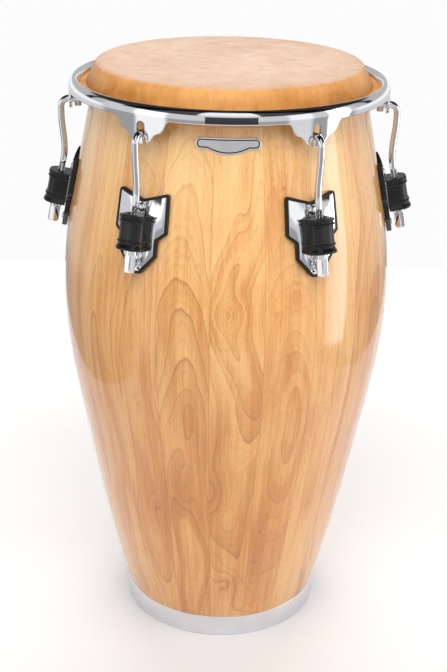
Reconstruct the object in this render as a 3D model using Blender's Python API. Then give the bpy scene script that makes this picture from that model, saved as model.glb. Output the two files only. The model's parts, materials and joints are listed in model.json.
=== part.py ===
"""Tumba: a tall stave drum with a hide head, a curved steel rim and six tuning lugs.

The drum stands on its bottom ring at the origin, +Z up, with its badge facing -Y.
Each lug is modelled once, in a frame on the shell: x points out of the shell, y runs
across it and z runs up along it. Sizes are in metres.
"""
import math

import bmesh
import bpy
from mathutils import Matrix, Vector

# Whole drum
DRUM_HEIGHT = 0.711
DRUM_SIDES = 48
GAP = 0.0003
SHARP_ANGLE = math.radians(35)

# Travel of the rim from the tuning that is shown
TIGHTEN = 0.006
SLACKEN = 0.004

# Shell
FOOT_RADIUS = 0.1235
BELLY_RADIUS = 0.1978
BELLY_HEIGHT = 0.435
HEAD_RADIUS = 0.1545
SHELL_WALL = 0.0125
BEARING_EDGE_ROUND = 0.007
# Shares of the way from foot to belly: of the height, then of the swell
SWELL_BELOW = ((0.20, 0.28), (0.57, 0.69), (0.82, 0.93))
# Shares of the way from belly to head: of the height, then of the taper
SWELL_ABOVE = ((0.35, 0.19), (0.64, 0.55))
PROFILE_STEPS = 12
INNER_STEPS = 6
ROUND_STEPS = 3

# Bottom ring
RING_HEIGHT = 0.028
RING_WALL = 0.002
RING_FOOT = 0.0025
RING_FLANGE = 0.012

# Drumhead and flesh hoop
SKIN_THICKNESS = 0.0018
SKIRT_CLEARANCE = 0.0005
SKIRT_LEAVE_ANGLE = math.radians(20)
SKIRT_STEPS = 2
HOOP_STANDOFF = 0.0175
HOOP_ROD_RADIUS = 0.0038
HOOP_SIDES = 8
TUCK_MOUTH_SIDES = 2

# Rim
RIM_DROP = 0.0185
RIM_HEIGHT = 0.015
RIM_CURVE_HEIGHT = 0.012
RIM_STANDOFF = 0.0152
RIM_WIDTH = 0.0122
RIM_WALL = 0.003
RIM_CURL_ANGLE = math.radians(150)
RIM_CURL_STEPS = 3
RIM_BAND_STEPS = 4

# Ears of the rim
EAR_DEPTH = 0.0275
EAR_HALF_WIDTH = 0.034
# Shares of the half width and of the depth, from the middle outwards
EAR_OUTLINE = (
    (0, 1), (0.13, 0.98), (0.25, 0.91), (0.37, 0.79), (0.46, 0.63),
    (0.56, 0.54), (0.70, 0.48), (0.80, 0.34), (0.88, 0.11), (1, 0),
)
EAR_LAND = 0.0075
SLOT_HEIGHT = 0.018
SLOT_CLEARANCE = 0.0012
SLOT_END_STEPS = 4

# Badge
BADGE_DROP = 0.05795
BADGE_THICKNESS = 0.0012
BADGE_HALF_LENGTH = 0.0353
BADGE_END_HEIGHT = 0.0125
BADGE_BULGE = 0.0052
BADGE_BULGE_HALF_LENGTH = 0.0223
BADGE_STEPS = 4
BADGE_BENDS = (-0.6, -0.3, 0, 0.3, 0.6)

# Lugs
LUG_COUNT = 6
LUG_DROP = 0.156
GASKET_THICKNESS = 0.0025
GASKET_BORDER = 0.003
PLATE_THICKNESS = 0.0025
CHANNEL_HALF_WIDTH = 0.007
CHANNEL_DEPTH = 0.001
WING_HALF_WIDTH = 0.0325
WING_RISE = 0.010
WING_HEIGHT = 0.045
WAIST_HALF_WIDTH = 0.0218
WAIST_STEP = 0.0085
WAIST_HEIGHT = 0.018
TIP_HALF_WIDTH = 0.0045
NOTCH_MARGIN = 0.0085
TIP_MARGIN = 0.0115

# Lug block and sleeve
ROD_STANDOFF = 0.012
BLOCK_TOP = 0.0150
BLOCK_HEIGHT = 0.0343
BLOCK_HALF_WIDTH = 0.0125
BLOCK_DEPTH = 0.0228
BLOCK_CORNER = 0.009
BLOCK_CHAMFER = 0.002
SLEEVE_WALL = 0.0017
SLEEVE_CAP = 0.0015
SLEEVE_OVERHANG = 0.002
# Shares of the sleeve's height, from its bottom, and how far it stands proud of its wall
SLEEVE_PROFILE = (
    (0.0, 0.0018), (0.07, 0.0028), (0.17, 0.0010), (0.21, 0.0014), (0.25, 0.0),
    (0.76, 0.0), (0.78, 0.0009), (0.84, 0.0009), (0.86, 0.0), (0.90, 0.0), (0.92, 0.0011), (1.0, 0.0008),
)
CORNER_STEPS = 3

# Hook
ROD_RADIUS = 0.0040
ROD_SIDES = 8
ROD_ABOVE_BLOCK = 0.0193
ROD_RESERVE = 0.0015
BORE_CLEARANCE = 0.0005
OUTER_BEND_RADIUS = 0.0095
TAIL_BEND_RADIUS = 0.0052
TAIL_LENGTH = 0.003
LEG_LENGTH = 0.008
SWEEP_STEPS = 5
BEND_STEPS = 3

# Tuning nut
NUT_LENGTH = 0.0272
NUT_ACROSS_FLATS = 0.0126
NUT_COLLAR_RADIUS = 0.0076
NUT_COLLAR_HEIGHT = 0.0078
NUT_POINTS = 12

# Bolts and backing straps
BOLT_RADIUS = 0.003
BOLT_SIDES = 8
BOLT_HEAD_RADIUS = 0.005
BOLT_HEAD_HEIGHT = 0.0033
BOLT_HEAD_EDGE = 0.0009
# Shares of the head's radius and of the dome's height, from its edge to its top
BOLT_DOME = ((1, 0), (0.68, 0.67), (0.25, 1))
BOLT_END = 0.002
UPPER_BOLT_MARGIN = 0.0048
LOWER_BOLT_MARGIN = 0.0135
STRAP_HALF_WIDTH = 0.010
STRAP_THICKNESS = 0.0025
STRAP_MARGIN = 0.009
STRAP_STEPS = 3


def between(start, end, up_share, out_share):
    """Point part of the way from one (height, radius) point to another."""
    height = start[0] + (end[0] - start[0]) * up_share
    radius = start[1] + (end[1] - start[1]) * out_share
    return (height, radius)


def hermite(start, end, start_pull, end_pull, share):
    """Point on a smooth curve that leaves and arrives along the two pulls."""
    cubed = share ** 3
    squared = share ** 2
    return ((2 * cubed - 3 * squared + 1) * start + (cubed - 2 * squared + share) * start_pull
            + (3 * squared - 2 * cubed) * end + (cubed - squared) * end_pull)


SHELL_TOP = DRUM_HEIGHT - SKIN_THICKNESS - GAP


def shell_curve():
    """Height, outer radius and slope at the points that the shell's curve runs through."""
    foot = (RING_HEIGHT, FOOT_RADIUS)
    belly = (BELLY_HEIGHT, BELLY_RADIUS)
    head = (SHELL_TOP, HEAD_RADIUS)
    points = [foot]
    points += [between(foot, belly, *shares) for shares in SWELL_BELOW]
    points += [belly]
    points += [between(belly, head, *shares) for shares in SWELL_ABOVE]
    points += [head]
    spans = [high[0] - low[0] for low, high in zip(points, points[1:])]
    rates = [(high[1] - low[1]) / span for low, high, span in zip(points, points[1:], spans)]
    slopes = [(rates[i] * spans[i + 1] + rates[i + 1] * spans[i]) / (spans[i] + spans[i + 1])
              for i in range(len(rates) - 1)]
    slopes = [2 * rates[0] - slopes[0]] + slopes + [2 * rates[-1] - slopes[-1]]
    return [(height, radius, slope) for (height, radius), slope in zip(points, slopes)]


SHELL_CURVE = shell_curve()


def shell_radius(height):
    """Outer radius of the shell at a height."""
    spans = list(zip(SHELL_CURVE, SHELL_CURVE[1:]))
    low, high = next((pair for pair in spans if height <= pair[1][0]), spans[-1])
    span = high[0] - low[0]
    share = (height - low[0]) / span
    return hermite(low[1], high[1], low[2] * span, high[2] * span, share)


def shell_inner_points():
    """Height and radius at the corners of the shell's inner face, from the top down."""
    low = RING_HEIGHT + GAP
    heights = [SHELL_TOP - (SHELL_TOP - low) * i / INNER_STEPS for i in range(INNER_STEPS + 1)]
    return [(height, shell_radius(height) - SHELL_WALL) for height in heights]


def inner_radius(height):
    """Radius of the shell's inner face at a height, straight between its corners."""
    points = shell_inner_points()
    spans = list(zip(points, points[1:]))
    high, low = next((pair for pair in spans if height >= pair[1][0]), spans[-1])
    share = (height - low[0]) / (high[0] - low[0])
    return low[1] + (high[1] - low[1]) * share


def shell_slope(height):
    """Change of the shell's outer radius for each metre of height."""
    step = 0.0005
    return (shell_radius(height + step) - shell_radius(height - step)) / (2 * step)


# Places that follow from the sizes
EDGE_HEIGHT = SHELL_TOP - BEARING_EDGE_ROUND
EDGE_CENTRE_RADIUS = shell_radius(EDGE_HEIGHT) - BEARING_EDGE_ROUND
RIM_TOP = DRUM_HEIGHT - RIM_DROP
RIM_EDGE = RIM_TOP - RIM_HEIGHT
RIM_SHOULDER = RIM_TOP - RIM_CURVE_HEIGHT
HOOP_RADIUS = HEAD_RADIUS + HOOP_STANDOFF
RIM_RADIUS = HOOP_RADIUS + RIM_STANDOFF
EAR_INNER_RADIUS = RIM_RADIUS - RIM_WALL
RIM_CURL_RADIUS = RIM_WIDTH / (1 - math.cos(RIM_CURL_ANGLE))
RIM_LIP_HEIGHT = RIM_SHOULDER + (RIM_CURVE_HEIGHT - RIM_WALL) * math.sin(RIM_CURL_ANGLE)
TUCK_HALF = HOOP_ROD_RADIUS + GAP + SKIN_THICKNESS
TUCK_TOP = RIM_LIP_HEIGHT - GAP
HOOP_HEIGHT = TUCK_TOP - TUCK_HALF
SLOT_BOTTOM = RIM_EDGE - EAR_DEPTH + EAR_LAND
SEAT_HEIGHT = DRUM_HEIGHT - LUG_DROP
SEAT_RADIUS = shell_radius(SEAT_HEIGHT) + GAP
LUG_TILT = math.atan(-shell_slope(SEAT_HEIGHT))
PLATE_BACK = GASKET_THICKNESS + GAP
PLATE_FRONT = PLATE_BACK + PLATE_THICKNESS
CHANNEL_FLOOR = PLATE_FRONT - CHANNEL_DEPTH
ROD_AXIS = PLATE_FRONT + ROD_STANDOFF
BLOCK_BOTTOM = BLOCK_TOP - BLOCK_HEIGHT
UPPER_BOLT = BLOCK_TOP + BOLT_HEAD_RADIUS + UPPER_BOLT_MARGIN
LOWER_BOLT = BLOCK_BOTTOM - BOLT_HEAD_RADIUS - LOWER_BOLT_MARGIN
NUT_TOP = BLOCK_BOTTOM - GAP
NUT_BOTTOM = NUT_TOP - NUT_LENGTH

# Frames of the lug that stands on +X: its seat on the shell, and the axis of its rod
SEAT_FRAME = Matrix.Translation((SEAT_RADIUS, 0, SEAT_HEIGHT)) @ Matrix.Rotation(-LUG_TILT, 4, "Y")
ROD_FRAME = Matrix.Translation((ROD_AXIS, 0, 0))
TO_SEAT = SEAT_FRAME.inverted()
TO_ROD = (SEAT_FRAME @ ROD_FRAME).inverted()


def make_material(name, colour, roughness, metallic=0.0, coat=0.0):
    """Principled material with a plain colour."""
    material = bpy.data.materials.new(name)
    material.use_nodes = True
    shader = material.node_tree.nodes["Principled BSDF"]
    shader.inputs["Base Color"].default_value = (*colour, 1.0)
    shader.inputs["Roughness"].default_value = roughness
    shader.inputs["Metallic"].default_value = metallic
    shader.inputs["Coat Weight"].default_value = coat
    material.diffuse_color = (*colour, 1.0)
    return material


def finish_mesh(form, name):
    """Mesh with its faces pointing out and its edges sharp only where they bend hard."""
    bmesh.ops.recalc_face_normals(form, faces=form.faces)
    mesh = bpy.data.meshes.new(name)
    form.to_mesh(mesh)
    form.free()
    mesh.shade_smooth()
    mesh.set_sharp_from_angle(angle=SHARP_ANGLE)
    return mesh


def ring_solid(name, rings, closed=False):
    """Solid skinned over rings of equal count: joined end to start, or capped at both ends.

    A ring of one point is a pole.
    """
    form = bmesh.new()
    loops = [[form.verts.new(point) for point in ring] for ring in rings]
    pairs = list(zip(loops, loops[1:]))
    if closed:
        pairs.append((loops[-1], loops[0]))
    for first, second in pairs:
        count = max(len(first), len(second))
        for i in range(count):
            corners = [first[i % len(first)], first[(i + 1) % len(first)]]
            corners += [second[(i + 1) % len(second)], second[i % len(second)]]
            form.faces.new(list(dict.fromkeys(corners)))
    if not closed:
        for end in (loops[0], loops[-1]):
            if len(end) > 1:
                form.faces.new(end)
    return finish_mesh(form, name)


def circle(radius, height, sides, centre=(0.0, 0.0)):
    """Ring of points round the z axis, with the middle of a flat on +x."""
    angles = [2 * math.pi * (i + 0.5) / sides for i in range(sides)]
    return [Vector((centre[0] + radius * math.cos(a), centre[1] + radius * math.sin(a), height)) for a in angles]


def turned(name, section, sides=DRUM_SIDES):
    """Closed (radius, height) section turned round the z axis."""
    return ring_solid(name, [circle(radius, height, sides) for radius, height in section], closed=True)


def arc(centre, radius, start, end, steps):
    """Points of an arc in a plane."""
    angles = [start + (end - start) * i / steps for i in range(steps + 1)]
    return [(centre[0] + radius * math.cos(a), centre[1] + radius * math.sin(a)) for a in angles]


def cut(mesh, cutter, operation="DIFFERENCE"):
    """Mesh cut by another, or joined to it; both start meshes are used up."""
    body = bpy.data.objects.new("body", mesh)
    tool = bpy.data.objects.new("tool", cutter)
    for item in (body, tool):
        bpy.context.scene.collection.objects.link(item)
    modifier = body.modifiers.new("cut", "BOOLEAN")
    modifier.operation = operation
    modifier.object = tool
    result = bpy.data.meshes.new_from_object(body.evaluated_get(bpy.context.evaluated_depsgraph_get()))
    for item in (body, tool):
        used = item.data
        bpy.data.objects.remove(item)
        bpy.data.meshes.remove(used)
    result.shade_smooth()
    result.set_sharp_from_angle(angle=SHARP_ANGLE)
    return result


def joined(meshes, name):
    """One mesh that holds several separate ones, each with its own transform."""
    form = bmesh.new()
    for mesh, transform in meshes:
        part = mesh.copy()
        part.transform(transform)
        form.from_mesh(part)
        bpy.data.meshes.remove(part)
    result = bpy.data.meshes.new(name)
    form.to_mesh(result)
    form.free()
    return result


def place(name, mesh, material, frame=Matrix.Identity(4), parent=None):
    """Named object in the scene."""
    item = bpy.data.objects.new(name, mesh)
    bpy.context.scene.collection.objects.link(item)
    item.parent = parent
    item.matrix_local = frame
    if mesh is not None and not mesh.materials:
        mesh.materials.append(material)
    return item


def bent_sheet(name, outline, cuts_across, cuts_up, back, front):
    """Sheet with a flat outline of (across, up) points, bent between two surfaces.

    back and front give a point of their surface for (across, up).
    """
    flat = bmesh.new()
    flat.faces.new([flat.verts.new((across, up, 0)) for across, up in outline])
    planes = [((value, 0, 0), (1, 0, 0)) for value in cuts_across]
    planes += [((0, value, 0), (0, 1, 0)) for value in cuts_up]
    for point, normal in planes:
        geometry = flat.verts[:] + flat.edges[:] + flat.faces[:]
        bmesh.ops.bisect_plane(flat, geom=geometry, plane_co=point, plane_no=normal)
    flat.verts.index_update()
    form = bmesh.new()
    backs = [form.verts.new(back(vert.co.x, vert.co.y)) for vert in flat.verts]
    fronts = [form.verts.new(front(vert.co.x, vert.co.y)) for vert in flat.verts]
    for face in flat.faces:
        corners = [vert.index for vert in face.verts]
        form.faces.new([backs[i] for i in reversed(corners)])
        form.faces.new([fronts[i] for i in corners])
    for edge in flat.edges:
        if edge.is_boundary:
            first, second = [vert.index for vert in edge.verts]
            form.faces.new([backs[first], backs[second], fronts[second], fronts[first]])
    flat.free()
    return finish_mesh(form, name)


def inset(outline, distance):
    """Closed anticlockwise outline moved inwards by a distance, edge by edge."""
    points = [Vector(point) for point in outline]
    result = []
    for i, point in enumerate(points):
        before = (point - points[i - 1]).normalized()
        after = (points[(i + 1) % len(points)] - point).normalized()
        inward_before = Vector((-before.y, before.x))
        inward_after = Vector((-after.y, after.x))
        middle = (inward_before + inward_after).normalized()
        result.append(tuple(point + middle * distance / middle.dot(inward_before)))
    return result


def mirrored(right_side):
    """Closed outline from its right side, listed from the bottom to the top."""
    left_side = [(-across, up) for across, up in reversed(right_side) if across > 0]
    return right_side + left_side


def shell_mesh():
    """Stave shell: swelling wall, spigot for the bottom ring and rounded bearing edge."""
    foot_height = RING_HEIGHT + GAP
    spigot_radius = FOOT_RADIUS - RING_WALL - GAP
    spigot_height = RING_FOOT + GAP
    section = [(spigot_radius, spigot_height), (spigot_radius, foot_height)]
    for i in range(PROFILE_STEPS):
        height = foot_height + (EDGE_HEIGHT - foot_height) * i / PROFILE_STEPS
        section.append((shell_radius(height), height))
    section += arc((EDGE_CENTRE_RADIUS, EDGE_HEIGHT), BEARING_EDGE_ROUND, 0, math.pi / 2, ROUND_STEPS)
    section += [(radius, height) for height, radius in shell_inner_points()]
    section.append((FOOT_RADIUS - SHELL_WALL, spigot_height))
    return turned("shell", section)


def bottom_ring_mesh():
    """Metal band round the foot, with a flange turned in under the staves."""
    inner = FOOT_RADIUS - RING_WALL
    flange = FOOT_RADIUS - RING_FLANGE
    section = [(FOOT_RADIUS, 0), (FOOT_RADIUS, RING_HEIGHT), (inner, RING_HEIGHT), (inner, RING_FOOT)]
    section += [(flange, RING_FOOT), (flange, 0)]
    return turned("bottom_ring", section)


def drumhead_mesh():
    """Hide skin over the bearing edge, with a skirt that flares out to the flesh hoop."""
    inner_round = BEARING_EDGE_ROUND + GAP
    face = [((0, SHELL_TOP + GAP), (0, 1))]
    angles = [math.pi / 2 + (SKIRT_LEAVE_ANGLE - math.pi / 2) * i / ROUND_STEPS for i in range(ROUND_STEPS + 1)]
    for angle in angles:
        normal = (math.cos(angle), math.sin(angle))
        point = (EDGE_CENTRE_RADIUS + inner_round * normal[0], EDGE_HEIGHT + inner_round * normal[1])
        face.append((point, normal))
    start = Vector(face[-1][0])
    skirt_radius = HOOP_RADIUS - TUCK_HALF - SKIRT_CLEARANCE - SKIN_THICKNESS
    end = Vector((skirt_radius, TUCK_TOP))
    reach = (end - start).length
    start_pull = Vector((math.sin(SKIRT_LEAVE_ANGLE), -math.cos(SKIRT_LEAVE_ANGLE))) * reach
    end_pull = Vector((0, -reach))
    nudge = 0.01
    for i in range(1, SKIRT_STEPS + 1):
        share = i / SKIRT_STEPS
        point = hermite(start, end, start_pull, end_pull, share)
        ahead = hermite(start, end, start_pull, end_pull, share + nudge) - point
        normal = Vector((-ahead.y, ahead.x)).normalized() if share < 1 else Vector((1, 0))
        face.append((tuple(point), tuple(normal)))
    face.append(((skirt_radius, TUCK_TOP - TIGHTEN - SKIN_THICKNESS), (1, 0)))
    inner = [point for point, normal in face]
    outer = [(point[0] + normal[0] * SKIN_THICKNESS, point[1] + normal[1] * SKIN_THICKNESS)
             for point, normal in face]
    section = outer + list(reversed(inner))
    rings = [circle(radius, height, DRUM_SIDES if radius > 0 else 1) for radius, height in section]
    return ring_solid("drumhead", rings)


def flesh_hoop_mesh():
    """Steel ring that the edge of the skin is rolled round."""
    section = arc((HOOP_RADIUS, HOOP_HEIGHT), HOOP_ROD_RADIUS, 0, 2 * math.pi, HOOP_SIDES)[:-1]
    return turned("flesh_hoop", section)


def skin_tuck_mesh():
    """Rolled edge of the skin, flat above and beside the flesh hoop and open below it."""
    side = 2 * math.pi / HOOP_SIDES
    steps = HOOP_SIDES - TUCK_MOUTH_SIDES
    start = -math.pi / 2 + side * (TUCK_MOUTH_SIDES - 0.5)
    turn = side * steps
    centre = (HOOP_RADIUS, HOOP_HEIGHT)
    corner = 1 / math.cos(side / 2)
    outer = arc(centre, TUCK_HALF * corner, start, start + turn, steps)
    inner = arc(centre, (HOOP_ROD_RADIUS + GAP) * corner, start + turn, start, steps)
    return turned("skin_tuck", outer + inner)


def rim_section(lower_edge):
    """Section of the rim: a wall whose top curls inwards over the flesh hoop."""
    curl_centre = RIM_RADIUS - RIM_CURL_RADIUS
    angles = [RIM_CURL_ANGLE * i / RIM_CURL_STEPS for i in range(RIM_CURL_STEPS + 1)]
    outer = [(curl_centre + RIM_CURL_RADIUS * math.cos(a), RIM_SHOULDER + RIM_CURVE_HEIGHT * math.sin(a))
             for a in angles]
    inner_radius = RIM_CURL_RADIUS - RIM_WALL
    inner_height = RIM_CURVE_HEIGHT - RIM_WALL
    inner = [(curl_centre + inner_radius * math.cos(a), RIM_SHOULDER + inner_height * math.sin(a))
             for a in reversed(angles)]
    return [(RIM_RADIUS, lower_edge)] + outer + inner + [(EAR_INNER_RADIUS, lower_edge)]


def rim_mesh():
    """Rim with its slotted ears, skinned over one section for each place round it."""
    half_sector = math.pi / LUG_COUNT
    ear = [(share * EAR_HALF_WIDTH / RIM_RADIUS, depth * EAR_DEPTH) for share, depth in EAR_OUTLINE]
    ear_end = ear[-1][0]
    band = [(ear_end + (half_sector - ear_end) * i / RIM_BAND_STEPS, 0) for i in range(1, RIM_BAND_STEPS + 1)]
    right = ear + band
    sector = [(-angle, drop) for angle, drop in reversed(right[1:-1])] + right
    rings = []
    for lug in range(LUG_COUNT):
        for angle, drop in sector:
            turn = Matrix.Rotation(2 * half_sector * lug + angle, 4, "Z")
            rings.append([turn @ Vector((radius, 0, height)) for radius, height in rim_section(RIM_EDGE - drop)])
    rim = ring_solid("rim", rings, closed=True)
    half_slot = ROD_RADIUS + SLOT_CLEARANCE
    low = SLOT_BOTTOM + half_slot
    high = SLOT_BOTTOM + SLOT_HEIGHT - half_slot
    outline = arc((0, high), half_slot, 0, math.pi, SLOT_END_STEPS)
    outline += arc((0, low), half_slot, math.pi, 2 * math.pi, SLOT_END_STEPS)
    near = EAR_INNER_RADIUS - RIM_WALL
    far = RIM_RADIUS + RIM_WALL
    slot = ring_solid("slot", [[Vector((x, across, up)) for across, up in outline] for x in (near, far)])
    slots = [(slot, Matrix.Rotation(2 * half_sector * lug, 4, "Z")) for lug in range(LUG_COUNT)]
    return cut(rim, joined(slots, "slots"))


def badge_outline():
    """Straight top, round ends and a lower edge that swells in a shallow arc."""
    end_round = BADGE_END_HEIGHT / 2
    end_centre = (BADGE_HALF_LENGTH - end_round, 0)
    bulge_radius = (BADGE_BULGE_HALF_LENGTH ** 2 + BADGE_BULGE ** 2) / (2 * BADGE_BULGE)
    bulge = []
    for i in range(BADGE_STEPS):
        across = BADGE_BULGE_HALF_LENGTH * i / BADGE_STEPS
        drop = math.sqrt(bulge_radius ** 2 - across ** 2) - bulge_radius + BADGE_BULGE
        bulge.append((across, -end_round - drop))
    corner = [(BADGE_BULGE_HALF_LENGTH, -end_round)]
    end = arc(end_centre, end_round, -math.pi / 2, math.pi / 2, BADGE_STEPS)
    return mirrored(bulge + corner + end)


def badge_mesh():
    """Thin plate bent to the shell, in a frame at its own middle that faces out along x."""
    middle = DRUM_HEIGHT - BADGE_DROP
    middle_radius = shell_radius(middle)

    def surface(proud):
        def point(across, up):
            radius = shell_radius(middle + up) + proud
            angle = across / middle_radius
            return (radius * math.cos(angle) - middle_radius, radius * math.sin(angle), up)
        return point

    cuts = [BADGE_HALF_LENGTH * share for share in BADGE_BENDS]
    mesh = bent_sheet("badge", badge_outline(), cuts, [], surface(GAP), surface(GAP + BADGE_THICKNESS))
    return mesh, Matrix.Translation((middle_radius, 0, middle))


def wrapped(depth):
    """Surface round the drum's axis at a depth out of the lug's seat, straight up and down."""
    def point(across, up):
        turn = Matrix.Rotation(across / SEAT_RADIUS, 4, "Z")
        return TO_SEAT @ turn @ SEAT_FRAME @ Vector((depth, 0, up))
    return point


def gasket_outline():
    """Wings with a notch between them above, a waist below and a narrow tip."""
    wing_top = UPPER_BOLT + NOTCH_MARGIN + WING_RISE
    wing_bottom = wing_top - WING_HEIGHT
    waist_top = wing_bottom - WAIST_STEP
    right = [
        (TIP_HALF_WIDTH, LOWER_BOLT - TIP_MARGIN),
        (WAIST_HALF_WIDTH, waist_top - WAIST_HEIGHT),
        (WAIST_HALF_WIDTH, waist_top),
        (WING_HALF_WIDTH, wing_bottom),
        (WING_HALF_WIDTH, wing_top),
        (0, UPPER_BOLT + NOTCH_MARGIN),
    ]
    return mirrored(right)


def flat_edges():
    """Places across the lug where the shell's faces meet, so that a sheet bends along them."""
    half_face = SEAT_RADIUS * math.pi / DRUM_SIDES
    return [-half_face, half_face]


def inner_depth(up):
    """Depth of the shell's inner face below the lug's seat, at a height up the seat."""
    height = (SEAT_FRAME @ Vector((0, 0, up))).z
    return (TO_SEAT @ Vector((inner_radius(height), 0, height))).x


def bolt_hole_cutter():
    """Two straight pins that clear the bolts of one lug through every layer."""
    deepest = min(inner_depth(UPPER_BOLT), inner_depth(LOWER_BOLT)) - STRAP_THICKNESS - SHELL_WALL
    pin = ring_solid("pin", [circle(BOLT_RADIUS + GAP, z, BOLT_SIDES) for z in (deepest, ROD_AXIS)])
    upright = Matrix.Rotation(math.pi / 2, 4, "Y")
    pins = [(pin, Matrix.Translation((0, 0, height)) @ upright) for height in (UPPER_BOLT, LOWER_BOLT)]
    return joined(pins, "pins")


def gasket_mesh():
    """Rubber gasket between side plate and shell."""
    faces = (wrapped(0), wrapped(GASKET_THICKNESS))
    sheet = bent_sheet("lug_gasket", gasket_outline(), flat_edges(), [], *faces)
    return cut(sheet, bolt_hole_cutter())


def rounded_front(half_width, back, front, corner):
    """Plan outline of the block, from its back right corner round the front to its back left."""
    centre = front - corner
    right = arc((centre, -(half_width - corner)), corner, -math.pi / 2, 0, CORNER_STEPS)
    left = arc((centre, half_width - corner), corner, 0, math.pi / 2, CORNER_STEPS)
    return [(back, -half_width)] + right + left + [(back, half_width)]


def plate_mesh():
    """Chromed side plate with a sunk channel and the block that the rod passes through."""
    outline = inset(gasket_outline(), GASKET_BORDER)
    sheet = bent_sheet("lug_plate", outline, flat_edges(), [], wrapped(PLATE_BACK), wrapped(PLATE_FRONT))
    ends = [[Vector((x, y, z)) for x, y in ((CHANNEL_FLOOR, -CHANNEL_HALF_WIDTH), (ROD_AXIS, -CHANNEL_HALF_WIDTH),
                                            (ROD_AXIS, CHANNEL_HALF_WIDTH), (CHANNEL_FLOOR, CHANNEL_HALF_WIDTH))]
            for z in (-WING_HEIGHT * 2, WING_HEIGHT * 2)]
    sheet = cut(sheet, ring_solid("channel", ends))
    front = PLATE_FRONT + BLOCK_DEPTH
    back = CHANNEL_FLOOR - (CHANNEL_FLOOR - PLATE_BACK) / 2
    full = rounded_front(BLOCK_HALF_WIDTH, back, front, BLOCK_CORNER)
    small = rounded_front(BLOCK_HALF_WIDTH - BLOCK_CHAMFER, back, front - BLOCK_CHAMFER, BLOCK_CORNER - BLOCK_CHAMFER)
    levels = [(full, BLOCK_BOTTOM), (full, BLOCK_TOP - BLOCK_CHAMFER), (small, BLOCK_TOP)]
    block = ring_solid("block", [[Vector((x, y, z)) for x, y in plan] for plan, z in levels])
    plate = cut(sheet, block, "UNION")
    bore_levels = (BLOCK_BOTTOM - BLOCK_HEIGHT, BLOCK_TOP + BLOCK_HEIGHT)
    bore_corner = (ROD_RADIUS + BORE_CLEARANCE) / math.cos(math.pi / ROD_SIDES)
    bore = [circle(bore_corner, z, ROD_SIDES, (ROD_AXIS, 0)) for z in bore_levels]
    plate = cut(plate, ring_solid("bore", bore))
    return cut(plate, bolt_hole_cutter())


def sleeve_mesh():
    """Rubber sleeve over the top and three sides of the block, ribbed above and flared below."""
    half_width = BLOCK_HALF_WIDTH + GAP
    front = PLATE_FRONT + BLOCK_DEPTH + GAP
    corner = BLOCK_CORNER + GAP
    path = rounded_front(half_width, PLATE_FRONT + GAP, front, corner)
    angles = [-math.pi / 2 + math.pi / 2 * i / CORNER_STEPS for i in range(CORNER_STEPS + 1)]
    turns = [-math.pi / 2] + angles + [angle + math.pi / 2 for angle in angles] + [math.pi / 2]
    bottom = BLOCK_BOTTOM - SLEEVE_OVERHANG
    height = BLOCK_TOP + GAP + SLEEVE_CAP - bottom
    section = [(SLEEVE_WALL + proud, bottom + share * height) for share, proud in SLEEVE_PROFILE]
    section += [(0, bottom + height), (0, bottom)]
    rings = []
    for (x, y), turn in zip(path, turns):
        rings.append([Vector((x + out * math.cos(turn), y + out * math.sin(turn), z)) for out, z in section])
    sleeve = ring_solid("lug_sleeve", rings)
    lap = SLEEVE_WALL / 2
    plan = rounded_front(half_width + lap, PLATE_FRONT + GAP, front + lap, corner + lap)
    cap_levels = (BLOCK_TOP + GAP, BLOCK_TOP + GAP + SLEEVE_CAP)
    cap = ring_solid("cap", [[Vector((x, y, z)) for x, y in plan] for z in cap_levels])
    bore_corner = (ROD_RADIUS + BORE_CLEARANCE) / math.cos(math.pi / ROD_SIDES)
    bore = [circle(bore_corner, z, ROD_SIDES, (ROD_AXIS, 0)) for z in (bottom - height, bottom + 2 * height)]
    return cut(cut(sleeve, cap, "UNION"), ring_solid("bore", bore))


def directed_arc(centre, radius, start, end, steps):
    """Points of an arc, each with its direction of travel."""
    points = arc(centre, radius, start, end, steps)
    angles = [start + (end - start) * i / steps for i in range(steps + 1)]
    return [(Vector(point), Vector((-math.sin(a), math.cos(a)))) for point, a in zip(points, angles)]


def hook_path():
    """Centre line of the hook, from rod end to tail: (radius, height) points with directions."""
    drift_out = TIGHTEN * math.tan(LUG_TILT)
    drift_in = SLACKEN * math.tan(LUG_TILT)
    bar_height = SLOT_BOTTOM + GAP + ROD_RADIUS
    tail_centre = (EAR_INNER_RADIUS - drift_out - GAP, bar_height - TAIL_BEND_RADIUS)
    outer_centre = (RIM_RADIUS + drift_in + GAP, bar_height - OUTER_BEND_RADIUS)
    rod_end = NUT_BOTTOM + TIGHTEN / math.cos(LUG_TILT) + ROD_RESERVE
    seat = SEAT_FRAME @ ROD_FRAME
    low, top = [seat @ Vector((0, 0, z)) for z in (rod_end, BLOCK_TOP + ROD_ABOVE_BLOCK)]
    low, top = Vector((low.x, low.z)), Vector((top.x, top.z))
    leg_top = Vector((outer_centre[0] + OUTER_BEND_RADIUS, outer_centre[1]))
    leg_bottom = leg_top - Vector((0, LEG_LENGTH))
    reach = (leg_bottom - top).length
    up_rod = (top - low).normalized()
    sweep = (top, leg_bottom, up_rod * reach, Vector((0, reach)))
    nudge = 0.001
    path = [(low, up_rod)]
    for i in range(SWEEP_STEPS + 1):
        share = i / SWEEP_STEPS
        along = hermite(*sweep, share + nudge) - hermite(*sweep, share - nudge)
        path.append((hermite(*sweep, share), along.normalized()))
    path += directed_arc(outer_centre, OUTER_BEND_RADIUS, 0, math.pi / 2, BEND_STEPS)
    path += directed_arc(tail_centre, TAIL_BEND_RADIUS, math.pi / 2, math.pi, BEND_STEPS)
    tail, down = path[-1]
    path.append((tail + down * TAIL_LENGTH, down))
    return path


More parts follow.
